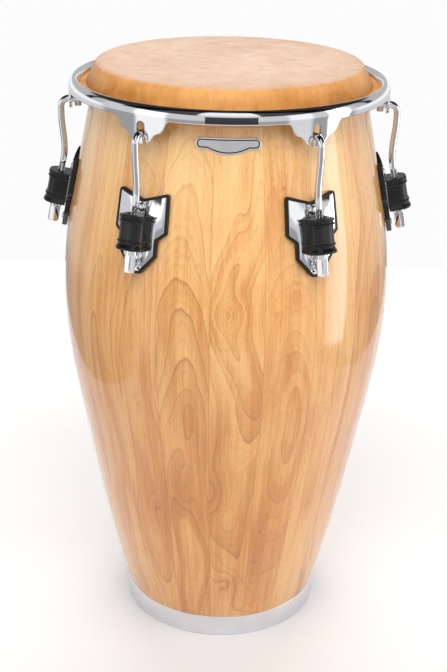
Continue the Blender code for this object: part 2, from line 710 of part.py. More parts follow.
def hook_mesh():
    """Bent rod: a straight threaded stretch, a sweep outwards and a hook over the ear."""
    rings = []
    for point, along in hook_path():
        side = Vector((along.y, 0, -along.x))
        centre = Vector((point.x, 0, point.y))
        ring = []
        for step in range(ROD_SIDES):
            angle = 2 * math.pi * step / ROD_SIDES
            offset = side * math.cos(angle) + Vector((0, 1, 0)) * math.sin(angle)
            ring.append(TO_ROD @ (centre + offset * ROD_RADIUS))
        rings.append(ring)
    return ring_solid("hook", rings)


def nut_mesh():
    """Long hexagon nut with a round collar under the block, threaded right through."""
    corner = NUT_ACROSS_FLATS / 2 / math.cos(math.pi / 6)
    hexagon = [corner if i % 2 == 0 else NUT_ACROSS_FLATS / 2 for i in range(NUT_POINTS)]
    bore = (ROD_RADIUS + GAP) / math.cos(math.pi / NUT_POINTS)
    collar_bottom = NUT_TOP - NUT_COLLAR_HEIGHT
    levels = [([NUT_COLLAR_RADIUS] * NUT_POINTS, NUT_TOP), ([NUT_COLLAR_RADIUS] * NUT_POINTS, collar_bottom)]
    levels += [(hexagon, collar_bottom), (hexagon, NUT_BOTTOM)]
    levels += [([bore] * NUT_POINTS, NUT_BOTTOM), ([bore] * NUT_POINTS, NUT_TOP)]
    rings = []
    for radii, height in levels:
        directions = circle(1.0, 0.0, NUT_POINTS)
        rings.append([Vector((way.x * radius, way.y * radius, height)) for way, radius in zip(directions, radii)])
    return ring_solid("tuning_nut", rings, closed=True)


def bolt_mesh(up):
    """Domed bolt along x, from the plate's channel to just past the strap; z is out of the head."""
    head_seat = CHANNEL_FLOOR + GAP
    end = inner_depth(up) - STRAP_THICKNESS - BOLT_END
    edge = head_seat + BOLT_HEAD_EDGE
    rise = BOLT_HEAD_HEIGHT - BOLT_HEAD_EDGE
    levels = [(BOLT_RADIUS, end), (BOLT_RADIUS, head_seat), (BOLT_HEAD_RADIUS, head_seat)]
    levels += [(BOLT_HEAD_RADIUS * out, edge + rise * up_share) for out, up_share in BOLT_DOME]
    mesh = ring_solid("lug_bolt", [circle(radius, z, BOLT_SIDES) for radius, z in levels])
    mesh.transform(Matrix.Rotation(math.pi / 2, 4, "Y"))
    return mesh


def strap_mesh():
    """Steel strap inside the shell, bent to its inner face and threaded for both bolts."""
    top = UPPER_BOLT + STRAP_MARGIN
    bottom = LOWER_BOLT - STRAP_MARGIN
    outline = [(-STRAP_HALF_WIDTH, bottom), (STRAP_HALF_WIDTH, bottom)]
    outline += [(STRAP_HALF_WIDTH, top), (-STRAP_HALF_WIDTH, top)]

    def surface(depth):
        def point(across, up):
            height = SEAT_HEIGHT + up * math.cos(LUG_TILT)
            radius = inner_radius(height) - depth
            angle = across / SEAT_RADIUS
            return TO_SEAT @ Vector((radius * math.cos(angle), radius * math.sin(angle), height))
        return point

    sag = (1 - math.cos(math.pi / DRUM_SIDES)) * SEAT_RADIUS
    cuts_up = [bottom + (top - bottom) * i / STRAP_STEPS for i in range(1, STRAP_STEPS)]
    faces = (surface(GAP + sag + STRAP_THICKNESS), surface(GAP + sag))
    sheet = bent_sheet("backing_strap", outline, [], cuts_up, *faces)
    return cut(sheet, bolt_hole_cutter())


def lug_angle(lug):
    """Angle of a lug round the drum from +X, which keeps the front between two lugs."""
    return 2 * math.pi * lug / LUG_COUNT


def build_drum():
    """Shell, rings, head, rim and badge."""
    wood = make_material("lacquered_wood", (0.72, 0.42, 0.18), 0.3, coat=0.6)
    brushed = make_material("satin_band", (0.70, 0.70, 0.71), 0.4, 1.0)
    hide = make_material("hide", (0.78, 0.52, 0.30), 0.5)
    steel = make_material("plain_steel", (0.45, 0.45, 0.46), 0.45, 1.0)
    chrome = make_material("chrome", (0.80, 0.80, 0.82), 0.08, 1.0)
    nickel = make_material("badge_metal", (0.62, 0.62, 0.65), 0.3, 1.0)
    seats = [Matrix.Rotation(lug_angle(lug), 4, "Z") @ SEAT_FRAME for lug in range(LUG_COUNT)]
    holes = joined([(bolt_hole_cutter(), seat) for seat in seats], "holes")
    place("shell", cut(shell_mesh(), holes), wood)
    place("bottom_ring", bottom_ring_mesh(), brushed)
    place("drumhead", drumhead_mesh(), hide)
    place("skin_tuck", skin_tuck_mesh(), hide)
    place("flesh_hoop", flesh_hoop_mesh(), steel)
    place("rim", rim_mesh(), chrome)
    badge, badge_frame = badge_mesh()
    place("badge", badge, nickel, Matrix.Rotation(-math.pi / 2, 4, "Z") @ badge_frame)


def build_lugs():
    """Six lugs, each hung on an empty at its seat and an empty on its rod's axis."""
    chrome = make_material("lug_chrome", (0.80, 0.80, 0.82), 0.1, 1.0)
    rubber = make_material("black_rubber", (0.015, 0.014, 0.016), 0.55)
    zinc = make_material("zinc_strap", (0.50, 0.50, 0.50), 0.5, 1.0)
    seat_pieces = [
        ("lug_gasket", gasket_mesh(), rubber, Matrix.Identity(4)),
        ("lug_plate", plate_mesh(), chrome, Matrix.Identity(4)),
        ("lug_sleeve", sleeve_mesh(), rubber, Matrix.Identity(4)),
        ("upper_bolt", bolt_mesh(UPPER_BOLT), chrome, Matrix.Translation((0, 0, UPPER_BOLT))),
        ("lower_bolt", bolt_mesh(LOWER_BOLT), chrome, Matrix.Translation((0, 0, LOWER_BOLT))),
        ("backing_strap", strap_mesh(), zinc, Matrix.Identity(4)),
    ]
    rod_pieces = [("hook", hook_mesh(), chrome), ("tuning_nut", nut_mesh(), chrome)]
    for lug in range(LUG_COUNT):
        number = lug + 1
        seat = place(f"lug_seat_{number}", None, None, Matrix.Rotation(lug_angle(lug), 4, "Z") @ SEAT_FRAME)
        rod = place(f"rod_axis_{number}", None, None, ROD_FRAME, seat)
        for name, mesh, material, frame in seat_pieces:
            place(f"{name}_{number}", mesh, material, frame, seat)
        for name, mesh, material in rod_pieces:
            place(f"{name}_{number}", mesh, material, Matrix.Identity(4), rod)


for old in list(bpy.data.objects):
    bpy.data.objects.remove(old)
build_drum()
build_lugs()
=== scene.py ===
import json
import math

import bmesh
import bpy
from mathutils import Matrix, Vector
from mathutils.bvhtree import BVHTree


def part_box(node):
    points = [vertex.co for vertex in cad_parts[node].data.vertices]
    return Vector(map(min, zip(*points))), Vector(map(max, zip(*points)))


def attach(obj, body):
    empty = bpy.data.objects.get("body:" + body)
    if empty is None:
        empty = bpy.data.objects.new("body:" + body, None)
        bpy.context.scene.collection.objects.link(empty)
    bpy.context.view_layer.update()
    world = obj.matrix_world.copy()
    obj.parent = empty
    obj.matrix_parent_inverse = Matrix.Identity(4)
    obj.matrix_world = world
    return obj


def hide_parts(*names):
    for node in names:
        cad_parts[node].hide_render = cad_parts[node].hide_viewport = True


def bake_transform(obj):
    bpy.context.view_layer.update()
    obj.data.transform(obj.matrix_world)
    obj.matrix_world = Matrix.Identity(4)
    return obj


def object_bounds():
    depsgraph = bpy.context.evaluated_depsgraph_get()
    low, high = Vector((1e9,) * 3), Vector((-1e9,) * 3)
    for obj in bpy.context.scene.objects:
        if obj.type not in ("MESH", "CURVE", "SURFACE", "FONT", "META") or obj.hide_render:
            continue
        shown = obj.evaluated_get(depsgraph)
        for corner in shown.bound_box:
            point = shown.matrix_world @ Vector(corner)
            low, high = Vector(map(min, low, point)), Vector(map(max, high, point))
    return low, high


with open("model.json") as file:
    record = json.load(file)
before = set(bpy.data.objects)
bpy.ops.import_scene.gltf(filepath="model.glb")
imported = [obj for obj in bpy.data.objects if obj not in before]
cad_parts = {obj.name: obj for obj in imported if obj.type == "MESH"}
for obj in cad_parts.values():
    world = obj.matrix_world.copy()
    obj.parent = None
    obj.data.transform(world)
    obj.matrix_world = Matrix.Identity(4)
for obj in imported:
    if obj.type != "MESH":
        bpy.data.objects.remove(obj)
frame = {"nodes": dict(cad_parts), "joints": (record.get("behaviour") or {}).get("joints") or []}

cad_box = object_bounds()


# Stave shell. Twenty staves of pale rubberwood, glued edge to edge into a barrel, then
# turned smooth outside and in, with a rounded bearing edge above and a spigot for the
# bottom ring below. The outside has a clear gloss lacquer, and the inside is bare.
STAVE_COUNT = 20
SWAY_TURNS = 24.0
STAVE_SHIFT = 5.0
SHELL_WALL = 0.0125
BEARING_EDGE_ROUND = 0.007
SHELL_SIDES = 240
SHELL_ROWS = 150
INNER_ROWS = 60
FULL_RING = 40
SEARCH_RADIUS = 0.5
SEARCH_ANGLE = math.radians(5)
SEARCH_RISE = 0.0001
SEARCH_NEAR = 0.001
TOUCHING = 1e-6
NO_LENGTH = 1e-7
MIX_INPUTS = (0, 6, 7)
SHARP_ANGLE = math.radians(35)
# The first wood colour is painted light: the paler tone that the top of the shell is blended to.
WOOD_PAINTED_LIGHT = (239, 197, 133)
WOOD_LIGHT = (238, 186, 119)
WOOD_MIDDLE = (222, 151, 76)
WOOD_TAN = (198, 123, 57)
WOOD_LINE = (152, 84, 36)
WOOD_PORE = (138, 74, 32)
WOOD_INSIDE = (214, 170, 120)
CALM_HEIGHT = 0.555
# Heights for painted light and shade on the lacquered wood: above the first, the top is blended paler as
# painted light; below the second, the wood is darkened as painted shade, and lightened above it; below the
# third, near the foot, that darkening eases off.
PAINTED_LIGHT_HEIGHT = 0.56
SHADE_PIVOT_HEIGHT = 0.48
FOOT_SHADE_EASE_HEIGHT = 0.15
GLUE_LINE = 0.0022
# How dark the wood is from one growth ring to the next, as (place, darkness) stops
RING_DARKNESS = ((0.0, 0.04), (0.4, 0.22), (0.78, 0.55), (0.93, 0.88), (0.965, 1.0), (1.0, 0.04))


def linear(colour):
    """Scene-linear colour, with alpha, from display values of 0 to 255."""
    shares = [value / 255 for value in colour]
    return tuple(c / 12.92 if c <= 0.04045 else ((c + 0.055) / 1.055) ** 2.4 for c in shares) + (1.0,)


class Nodes:
    """A node tree in the making, with short calls for its nodes."""

    def __init__(self, tree):
        self.tree = tree

    def node(self, kind, inputs=None, **settings):
        """New node with its settings; each input is a value, a field or another node's output."""
        made = self.tree.nodes.new(kind)
        for name, value in settings.items():
            setattr(made, name, value)
        for key, value in (inputs or {}).items():
            self.feed(made.inputs[key], value)
        return made

    def feed(self, socket, value):
        """Sets an input, or links it to the output that it is given."""
        value = value.socket if isinstance(value, Field) else value
        if isinstance(value, bpy.types.NodeSocket):
            self.tree.links.new(value, socket)
        else:
            socket.default_value = value

    def math(self, operation, *values):
        """Field that one Math node gives."""
        made = self.node("ShaderNodeMath", dict(enumerate(values)), operation=operation)
        return Field(self, made.outputs[0])

    def parts(self, vector):
        """The three parts of a vector output, as fields."""
        split = self.node("ShaderNodeSeparateXYZ", {0: vector})
        return [Field(self, output) for output in split.outputs]


class Finish(Nodes):
    """A material in the making, with the patterns that the drum's surfaces need."""

    def __init__(self, name):
        self.material = bpy.data.materials.new(name)
        self.material.use_nodes = True
        super().__init__(self.material.node_tree)
        self.shader = self.tree.nodes["Principled BSDF"]

    def set(self, **values):
        """Sets the shader's own inputs, named with _ for each space."""
        for name, value in values.items():
            self.feed(self.shader.inputs[name.replace("_", " ").title().replace("Ior", "IOR")], value)

    def place(self):
        """The object coordinates in metres, as one vector output."""
        return self.node("ShaderNodeTexCoord").outputs["Object"]

    def noise(self, place, scale=1.0, detail=2.0, roughness=0.5):
        """Soft noise from 0 to 1 at a place: a vector output, or three fields or numbers."""
        if isinstance(place, tuple):
            place = self.node("ShaderNodeCombineXYZ", dict(enumerate(place))).outputs[0]
        inputs = {"Vector": place, "Scale": scale, "Detail": detail, "Roughness": roughness}
        return Field(self, self.node("ShaderNodeTexNoise", inputs).outputs[0])

    def chance(self, number):
        """Random number from 0 to 1 for each whole number."""
        made = self.node("ShaderNodeTexWhiteNoise", {"W": number}, noise_dimensions="1D")
        return Field(self, made.outputs["Value"])

    def curve(self, value, stops, interpolation="LINEAR"):
        """Field that runs through (place, height) stops as a value goes from 0 to 1."""
        made = self.node("ShaderNodeValToRGB", {0: value})
        ramp = made.color_ramp
        ramp.interpolation = interpolation
        while len(ramp.elements) < len(stops):
            ramp.elements.new(0.5)
        for element, (place, height) in zip(ramp.elements, stops):
            element.position = place
            element.color = (height, height, height, 1)
        return Field(self, made.outputs[0])

    def blend(self, share, first, second):
        """Colour between two, each from another node or three display values of 0 to 255."""
        made = self.node("ShaderNodeMix", data_type="RGBA")
        for index, value in zip(MIX_INPUTS, (share, first, second)):
            self.feed(made.inputs[index], linear(value) if isinstance(value, tuple) else value)
        return made.outputs[2]

    def bump(self, height, depth, strength=1.0):
        """Normal that a height field, in shares of a depth in metres, gives the surface."""
        inputs = {"Height": height, "Distance": depth, "Strength": strength}
        return self.node("ShaderNodeBump", inputs).outputs[0]


class Field:
    """A number that nodes work out at every place on a surface."""

    def __init__(self, nodes, socket):
        self.nodes = nodes
        self.socket = socket

    def __add__(self, other):
        return self.nodes.math("ADD", self, other)

    def __sub__(self, other):
        return self.nodes.math("SUBTRACT", self, other)

    def __mul__(self, other):
        return self.nodes.math("MULTIPLY", self, other)

    def __truediv__(self, other):
        return self.nodes.math("DIVIDE", self, other)

    def __pow__(self, other):
        return self.nodes.math("POWER", self, other)

    def __rsub__(self, other):
        return self.nodes.math("SUBTRACT", other, self)

    def __neg__(self):
        return self * -1.0

    def whole(self):
        """Whole part."""
        return self.nodes.math("FLOOR", self)

    def rest(self):
        """What is left over the whole part."""
        return self.nodes.math("FRACT", self)

    def size(self):
        """Value without its sign."""
        return self.nodes.math("ABSOLUTE", self)

    def above(self, edge, width):
        """0 below an edge and 1 above it, with a soft step of a given width."""
        inputs = {0: self, 1: edge - width / 2, 2: edge + width / 2}
        made = self.nodes.node("ShaderNodeMapRange", inputs, interpolation_type="SMOOTHSTEP")
        return Field(self.nodes, made.outputs[0])


class Shaper(Nodes):
    """A Geometry Nodes tree in the making, with a geometry, named inputs and a finish to work from."""

    def __init__(self, name, inputs):
        super().__init__(bpy.data.node_groups.new(name, "GeometryNodeTree"))
        interface = self.tree.interface
        kinds = {"Geometry": "NodeSocketGeometry", **inputs, "Finish": "NodeSocketMaterial"}
        self.names = {}
        for label, kind in kinds.items():
            socket = interface.new_socket(name=label, in_out="INPUT", socket_type=kind)
            self.names[label] = socket.identifier
        interface.new_socket(name="Geometry", in_out="OUTPUT", socket_type="NodeSocketGeometry")
        self.given = self.tree.nodes.new("NodeGroupInput").outputs

    def field(self, label):
        """Named input, as a field."""
        return Field(self, self.given[label])

    def end(self, geometry):
        """Ends the tree: what it copied is made real and takes the finish."""
        plain = self.node("GeometryNodeRealizeInstances", {0: geometry})
        inputs = {"Geometry": plain.outputs[0], "Material": self.given["Finish"]}
        dressed = self.node("GeometryNodeSetMaterial", inputs)
        self.feed(self.tree.nodes.new("NodeGroupOutput").inputs[0], dressed.outputs[0])

    def shape(self, source, name, values):
        """Plain mesh that the tree makes of an object and values for its inputs; the object is used up."""
        modifier = source.modifiers.new(name, "NODES")
        modifier.node_group = self.tree
        for label, value in values.items():
            modifier[self.names[label]] = value
        return evaluated_mesh(source, name)


def rings_of(node):
    """(radius, height) of every full ring of vertices on a turned CAD node."""
    found = {}
    for vert in frame["nodes"][node].data.vertices:
        place = (round(math.hypot(vert.co.x, vert.co.y), 5), round(vert.co.z, 5))
        found.setdefault(place, set()).add(round(math.atan2(vert.co.y, vert.co.x), 2))
    return sorted(place for place, turns in found.items() if len(turns) >= FULL_RING)


def outer_rings(node):
    """(height, radius) of the full rings that can be seen from outside, from the bottom up."""
    mesh = frame["nodes"][node].data
    solid = BVHTree.FromPolygons([v.co for v in mesh.vertices], [p.vertices for p in mesh.polygons])
    towards = Vector((-math.cos(SEARCH_ANGLE), -math.sin(SEARCH_ANGLE), 0))
    seen = []
    for radius, height in rings_of(node):
        start = -towards * SEARCH_RADIUS + Vector((0, 0, height + SEARCH_RISE))
        hit = solid.ray_cast(start, towards)[0]
        if hit and abs(math.hypot(hit.x, hit.y) - radius) < SEARCH_NEAR:
            seen.append((height, radius))
    return sorted(seen)


def eased(share, start, leave, stop, arrive):
    """Place on a smooth curve between two places, given how it leaves one and arrives at the other."""
    squared, cubed = share ** 2, share ** 3
    return ((2 * cubed - 3 * squared + 1) * start + (cubed - 2 * squared + share) * leave
            + (3 * squared - 2 * cubed) * stop + (cubed - squared) * arrive)


def smooth_between(points, height):
    """Radius at a height on a smooth curve through (height, radius) points."""
    last = len(points) - 2
    i = next((k for k in range(last + 1) if height <= points[k + 1][0]), last)
    before, low, high, after = (points[min(max(k, 0), last + 1)] for k in (i - 1, i, i + 1, i + 2))
    span = high[0] - low[0]
    low_slope = (high[1] - before[1]) / (high[0] - before[0]) * span
    high_slope = (after[1] - low[1]) / (after[0] - low[0]) * span
    return eased((height - low[0]) / span, low[1], low_slope, high[1], high_slope)


def arc(centre, radius, start, end, steps):
    """Points of an arc in a plane, between two angles in degrees."""
    angles = [math.radians(start + (end - start) * i / steps) for i in range(steps + 1)]
    return [(centre[0] + radius * math.cos(a), centre[1] + radius * math.sin(a)) for a in angles]


def turning_tree():
    """Turns a profile, drawn as a line in the XZ plane, round the z axis."""
    tree = Shaper("turning", {"Sides": "NodeSocketInt", "Start Angle": "NodeSocketFloat"})
    profile = tree.given["Geometry"]
    count = tree.node("GeometryNodeAttributeDomainSize", {0: profile}, component="CURVE")
    rows = Field(tree, count.outputs["Point Count"])
    grid = tree.node("GeometryNodeMeshGrid", {"Vertices X": tree.field("Sides") + 1, "Vertices Y": rows})
    place = tree.node("GeometryNodeInputPosition").outputs[0]
    x, y, z = tree.parts(place)
    turn = (x + 0.5) * (2 * math.pi) + tree.field("Start Angle")
    row = tree.math("ROUND", (y + 0.5) * (rows - 1))
    inputs = {"Geometry": profile, "Index": row, "Value": place}
    point = tree.node("GeometryNodeSampleIndex", inputs, data_type="FLOAT_VECTOR")
    inputs = {"Vector": point.outputs[0], "Angle": turn}
    turned_point = tree.node("ShaderNodeVectorRotate", inputs, rotation_type="Z_AXIS")
    inputs = {"Geometry": grid.outputs[0], "Position": turned_point.outputs[0]}
    shaped = tree.node("GeometryNodeSetPosition", inputs)
    closed = tree.node("GeometryNodeMergeByDistance", {"Geometry": shaped.outputs[0], "Distance": TOUCHING})
    tree.end(closed.outputs[0])
    return tree


TURNING = turning_tree()


def evaluated_mesh(source, name):
    """Plain mesh, in one finish, of an object as its modifiers leave it; the object is used up."""
    bpy.context.view_layer.update()
    mesh = bpy.data.meshes.new_from_object(source.evaluated_get(bpy.context.evaluated_depsgraph_get()))
    mesh.name = name
    finishes = [finish for finish in mesh.materials if finish]
    mesh.materials.clear()
    for finish in finishes:
        mesh.materials.append(finish)
    bpy.data.objects.remove(source)
    return mesh


def finish_mesh(mesh):
    """Faces pointing out, shaded smooth, with edges sharp only where they bend hard."""
    form = bmesh.new()
    form.from_mesh(mesh)
    bmesh.ops.dissolve_degenerate(form, edges=form.edges, dist=NO_LENGTH)
    bmesh.ops.recalc_face_normals(form, faces=form.faces)
    form.to_mesh(mesh)
    form.free()
    mesh.shade_smooth()
    mesh.set_sharp_from_angle(angle=SHARP_ANGLE)
    return mesh


def in_scene(name, data):
    """Object in the scene that holds some data."""
    item = bpy.data.objects.new(name, data)
    bpy.context.scene.collection.objects.link(item)
    return item


def line_object(name, points):
    """Object that is a line of straight runs through (radius, height) points in the XZ plane."""
    line = bpy.data.curves.new(name, "CURVE")
    line.dimensions = "3D"
    spline = line.splines.new("POLY")
    spline.points.add(len(points) - 1)
    for point, (radius, height) in zip(spline.points, points):
        point.co = (radius, 0, height, 1)
    return in_scene(name, line)


def turned(name, profile, finish, sides=SHELL_SIDES, start_angle=0.0):
    """Piece turned round the z axis from a closed (radius, height) profile."""
    source = line_object(name + "_profile", profile + profile[:1])
    values = {"Sides": sides, "Start Angle": start_angle, "Finish": finish}
    return in_scene(name, finish_mesh(TURNING.shape(source, name, values)))


def stave_fields(wood):
    """Stave number, distance across it from its middle, and height, as fields."""
    x, y, height = wood.parts(wood.place())
    angle = wood.math("ARCTAN2", x, -y) * math.degrees(1)
    share = (angle + STAVE_SHIFT) * (STAVE_COUNT / 360)
    stave = wood.math("FLOORED_MODULO", share.whole(), float(STAVE_COUNT))
    radius = wood.math("SQRT", x * x + y * y)
    across = (share.rest() - 0.5) * radius * math.radians(360 / STAVE_COUNT)
    return stave, across, height, radius


# Grain of each stave, from the one at the front's middle round by the right: how dark it is and
# how strong its rings are, from 0 to 1, then where the heart of its rings lies across it and up
# it, how much the rings open out along it, how wide they are and how far the heart sways, in metres
STAVE_GRAIN = (
    (0.30, 0.70, 0.006, 0.470, 0.13, 0.0064, -0.016), (0.44, 0.55, 0.008, 0.320, 0.24, 0.0060, 0.003),
    (0.22, 0.40, -0.006, 0.100, 0.05, 0.0072, 0.006), (0.52, 0.85, 0.024, 0.300, 0.16, 0.0078, 0.008),
    (0.36, 0.55, 0.005, 0.620, 0.07, 0.0060, 0.009), (0.44, 0.40, 0.040, 0.300, 0.03, 0.0052, 0.006),
    (0.35, 0.75, -0.008, 0.180, 0.09, 0.0064, 0.010), (0.70, 0.60, 0.006, 0.480, 0.18, 0.0060, 0.012),
    (0.50, 0.45, -0.030, 0.350, 0.05, 0.0058, 0.005), (0.28, 0.70, 0.002, 0.080, 0.10, 0.0066, 0.008),
    (0.62, 0.55, 0.012, 0.550, 0.09, 0.0054, 0.011), (0.42, 0.40, -0.042, 0.250, 0.02, 0.0050, 0.004),
    (0.66, 0.80, -0.010, 0.300, 0.20, 0.0062, 0.010), (0.36, 0.60, 0.008, 0.140, 0.08, 0.0068, 0.007),
    (0.55, 0.40, 0.035, 0.500, 0.04, 0.0056, 0.006), (0.30, 0.75, 0.000, 0.220, 0.12, 0.0064, 0.009),
    (0.38, 0.50, -0.020, 0.600, 0.06, 0.0058, 0.007), (0.42, 0.60, 0.004, 0.270, 0.06, 0.0058, 0.005),
    (0.46, 0.80, 0.004, 0.280, 0.115, 0.0060, 0.005), (0.36, 0.85, -0.003, 0.130, 0.128, 0.0062, 0.006),
)
TONE, CONTRAST, HEART_ACROSS, HEART_HEIGHT, OPENING, RING_WIDTH, SWAY = range(7)

# Knots and swirls on the staves at the front: stave, across, height, growth rings gained,
# half width and half height of the spot, all in metres but the first and the fourth
KNOTS = (
    (0, -0.008, 0.470, -3.6, 0.018, 0.016),
    (0, -0.024, 0.232, 2.6, 0.018, 0.030),
    (0, 0.000, 0.090, 1.4, 0.012, 0.020),
    (0, 0.010, 0.600, 1.2, 0.008, 0.050),
    (1, 0.006, 0.484, 2.6, 0.007, 0.010),
    (1, -0.014, 0.140, -2.4, 0.009, 0.075),
    (1, -0.004, 0.610, 1.6, 0.008, 0.030),
    (2, 0.010, 0.360, 1.2, 0.010, 0.045),
    (19, -0.004, 0.230, 1.8, 0.010, 0.030),
    (19, 0.008, 0.340, -1.4, 0.008, 0.030),
    (18, 0.006, 0.200, 1.4, 0.008, 0.030),
    (7, 0.006, 0.480, 2.3, 0.011, 0.017),
    (12, -0.010, 0.300, 2.2, 0.010, 0.018),
)


def grain_of(wood, stave, column):
    """One column of the grain list, as a field that steps from stave to stave."""
    values = [grain[column] for grain in STAVE_GRAIN]
    low, high = min(values), max(values)
    steps = [(i / STAVE_COUNT, (value - low) / (high - low)) for i, value in enumerate(values)]
    return wood.curve((stave + 0.5) / STAVE_COUNT, steps, "CONSTANT") * (high - low) + low


def ring_phase(wood, stave, across, height):
    """Where a place lies between two growth rings, the number of the ring, and how near a knot is."""
    drift = wood.noise((stave * 3.7, 0.0, height * 5.0), detail=2.0) - 0.5
    wave = wood.noise((across * 16, stave * 5.1, height * 7.0), detail=2.0) - 0.5
    ripple = wood.noise((across * 80, stave * 2.3, height * 36), detail=3.0) - 0.5
    opening = grain_of(wood, stave, OPENING)
    above = height - grain_of(wood, stave, HEART_HEIGHT)
    sway = wood.math("COSINE", above * SWAY_TURNS) * grain_of(wood, stave, SWAY)
    deep = above * opening + drift * (opening * 0.12 + 0.014)
    off = across - grain_of(wood, stave, HEART_ACROSS) - sway + wave * 0.026
    far = wood.math("SQRT", off * off + deep * deep)
    count = (far + ripple * 0.0024) / grain_of(wood, stave, RING_WIDTH)
    swells = []
    for number, knot_across, knot_height, rings, half_width, half_height in KNOTS:
        aside = (across - knot_across) / half_width
        along = (height - knot_height) / half_height
        swell = wood.math("EXPONENT", -(aside * aside + along * along))
        swell = swell * wood.math("COMPARE", stave, float(number), 0.5)
        swells.append(swell)
        count = count + swell * rings
    return count.rest(), count.whole(), sum(swells[1:], swells[0])


def lacquered_wood():
    """Rubberwood under gloss lacquer: growth rings, fibres and pores, stave by stave; the top is made paler
    as painted light and the lower shell darker as painted shade.
    """
    wood = Finish("lacquered_rubberwood")
    stave, across, height, radius = stave_fields(wood)
    phase, ring, knotty = ring_phase(wood, stave, across, height)
    contrast = grain_of(wood, stave, CONTRAST)
    late = wood.curve(phase, RING_DARKNESS)
    calm_top = 1.0 - height.above(CALM_HEIGHT, 0.11) * 0.6
    strength = (wood.chance(ring + stave * 31.7) * 0.8 + 0.2) * contrast * calm_top + knotty * 0.6
    band = (wood.chance(ring + stave * 17.3) - 0.5) * contrast * calm_top * 0.8
    cloud = wood.noise((across * 30, stave * 1.7, height * 7), detail=3.0) - 0.5
    fibre = wood.noise((across * 620, stave, height * 14), detail=3.0, roughness=0.65) - 0.5
    streak = wood.noise((across * 170, stave * 2.9, height * 4), detail=3.0, roughness=0.6) - 0.5
    speck = wood.noise((across * 950, stave, height * 95), detail=2.0, roughness=0.6)
    pores = speck.above(0.60, 0.07)
    tone = grain_of(wood, stave, TONE) * 1.2 + cloud * 1.3 + streak * 1.2 + band * 0.5
    # Painted shade and light: the wood is darkened steadily down the shell below the pivot height and
    # lightened above it, and the foot is kept from going darker.
    tone = tone + (SHADE_PIVOT_HEIGHT - height) * 1.35 + knotty * 0.25
    tone = tone - (1.0 - height.above(FOOT_SHADE_EASE_HEIGHT, 0.14)) * 0.4
    # Painted light: the top of the shell is blended to a paler colour.
    light = wood.blend(height.above(PAINTED_LIGHT_HEIGHT, 0.16) * 0.9, WOOD_LIGHT, WOOD_PAINTED_LIGHT)
    colour = wood.blend(tone, light, WOOD_MIDDLE)
    deep = tone * 0.60 - 0.24 + cloud * 0.8 + fibre * 0.8 + band * 0.6
    colour = wood.blend(deep, colour, WOOD_TAN)
    thread = (phase * 3.0 + ring).rest() ** 3.0 * contrast
    edge_line = phase.above(0.90, 0.05) * (1.0 - phase.above(0.985, 0.02))
    lines = late * strength * 0.42 + edge_line * strength * 0.22 + thread * 0.12
    colour = wood.blend(lines + fibre * 0.32, colour, WOOD_LINE)
    colour = wood.blend(pores * (cloud * 0.5 + 0.24), colour, WOOD_PORE)
    edge = (across / radius).size().above(math.radians(180 / STAVE_COUNT) - GLUE_LINE, 0.0018)
    colour = wood.blend(edge * 0.3, colour, WOOD_PORE)
    wood.set(base_color=colour, roughness=0.42, coat_weight=1.0, coat_roughness=0.035, coat_IOR=1.5)
    wood.set(normal=wood.bump(fibre - pores * 0.6, 0.00004, 0.5))
    peel = wood.noise(wood.place(), scale=95.0, detail=1.0)
    wood.set(coat_normal=wood.bump(peel, 0.00006, 0.6))
    return wood.material


def bare_wood():
    """Sanded rubberwood inside the shell, matt and without lacquer."""
    wood = Finish("bare_rubberwood")
    stave, across, height, radius = stave_fields(wood)
    fibre = wood.noise((across * 800, stave, height * 20), detail=3.0, roughness=0.6)
    cloud = wood.noise((across * 24, stave * 4.1, height * 6), detail=3.0)
    tone = (wood.chance(stave + 0.17) - 0.5) * 0.6 + cloud * 0.8 + (fibre - 0.5) * 0.6
    colour = wood.blend(tone, WOOD_INSIDE, WOOD_TAN)
    wood.set(base_color=colour, roughness=0.75, normal=wood.bump(fibre, 0.0001, 0.6))
    return wood.material


shell_low, shell_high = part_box("shell")
edge_height = shell_high.z - BEARING_EDGE_ROUND
ring_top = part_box("bottom_ring")[1].z
wood_line = [point for point in outer_rings("shell") if ring_top < point[0] < edge_height + SEARCH_NEAR / 2]


def shell_radius(height):
    """Outer radius of the smooth shell at a height."""
    return smooth_between(wood_line, height)


def shell_piece():
    """The barrel, with lacquer outside and bare wood inside."""
    foot = wood_line[0][0]
    spigot = max(radius for radius, height in rings_of("shell") if height < foot - SEARCH_NEAR)
    rise = [foot + (edge_height - foot) * i / SHELL_ROWS for i in range(SHELL_ROWS)]
    profile = [(spigot, shell_low.z), (spigot, foot)]
    profile += [(shell_radius(height), height) for height in rise]
    crest = (shell_radius(edge_height) - BEARING_EDGE_ROUND, edge_height)
    profile += arc(crest, BEARING_EDGE_ROUND, 0, 90, 8)
    fall = [shell_high.z - (shell_high.z - foot) * i / INNER_ROWS for i in range(INNER_ROWS + 1)]
    profile += [(shell_radius(height) - SHELL_WALL, height) for height in fall]
    profile += [(shell_radius(foot) - SHELL_WALL, shell_low.z)]
    first_seam = math.radians(-90 - STAVE_SHIFT)
    shell = turned("stave_shell", profile, lacquered_wood(), SHELL_SIDES, first_seam)
    shell.data.materials.append(bare_wood())
    for face in shell.data.polygons:
        middle = face.center
        surface = shell_radius(min(max(middle.z, foot), edge_height))
        face.material_index = int(math.hypot(middle.x, middle.y) < surface - SHELL_WALL / 2)
    return shell


shell = shell_piece()
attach(shell, "root")
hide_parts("shell")


# Backing straps. Six zinc-plated steel straps inside the shell, one behind each lug,
# threaded for its two bolts. Their CAD solids are right and get a plated finish.
ZINC_LIGHT = (176, 178, 180)
ZINC_DARK = (122, 125, 130)
LUGS = range(1, 7)
LUG_ANGLE = 60


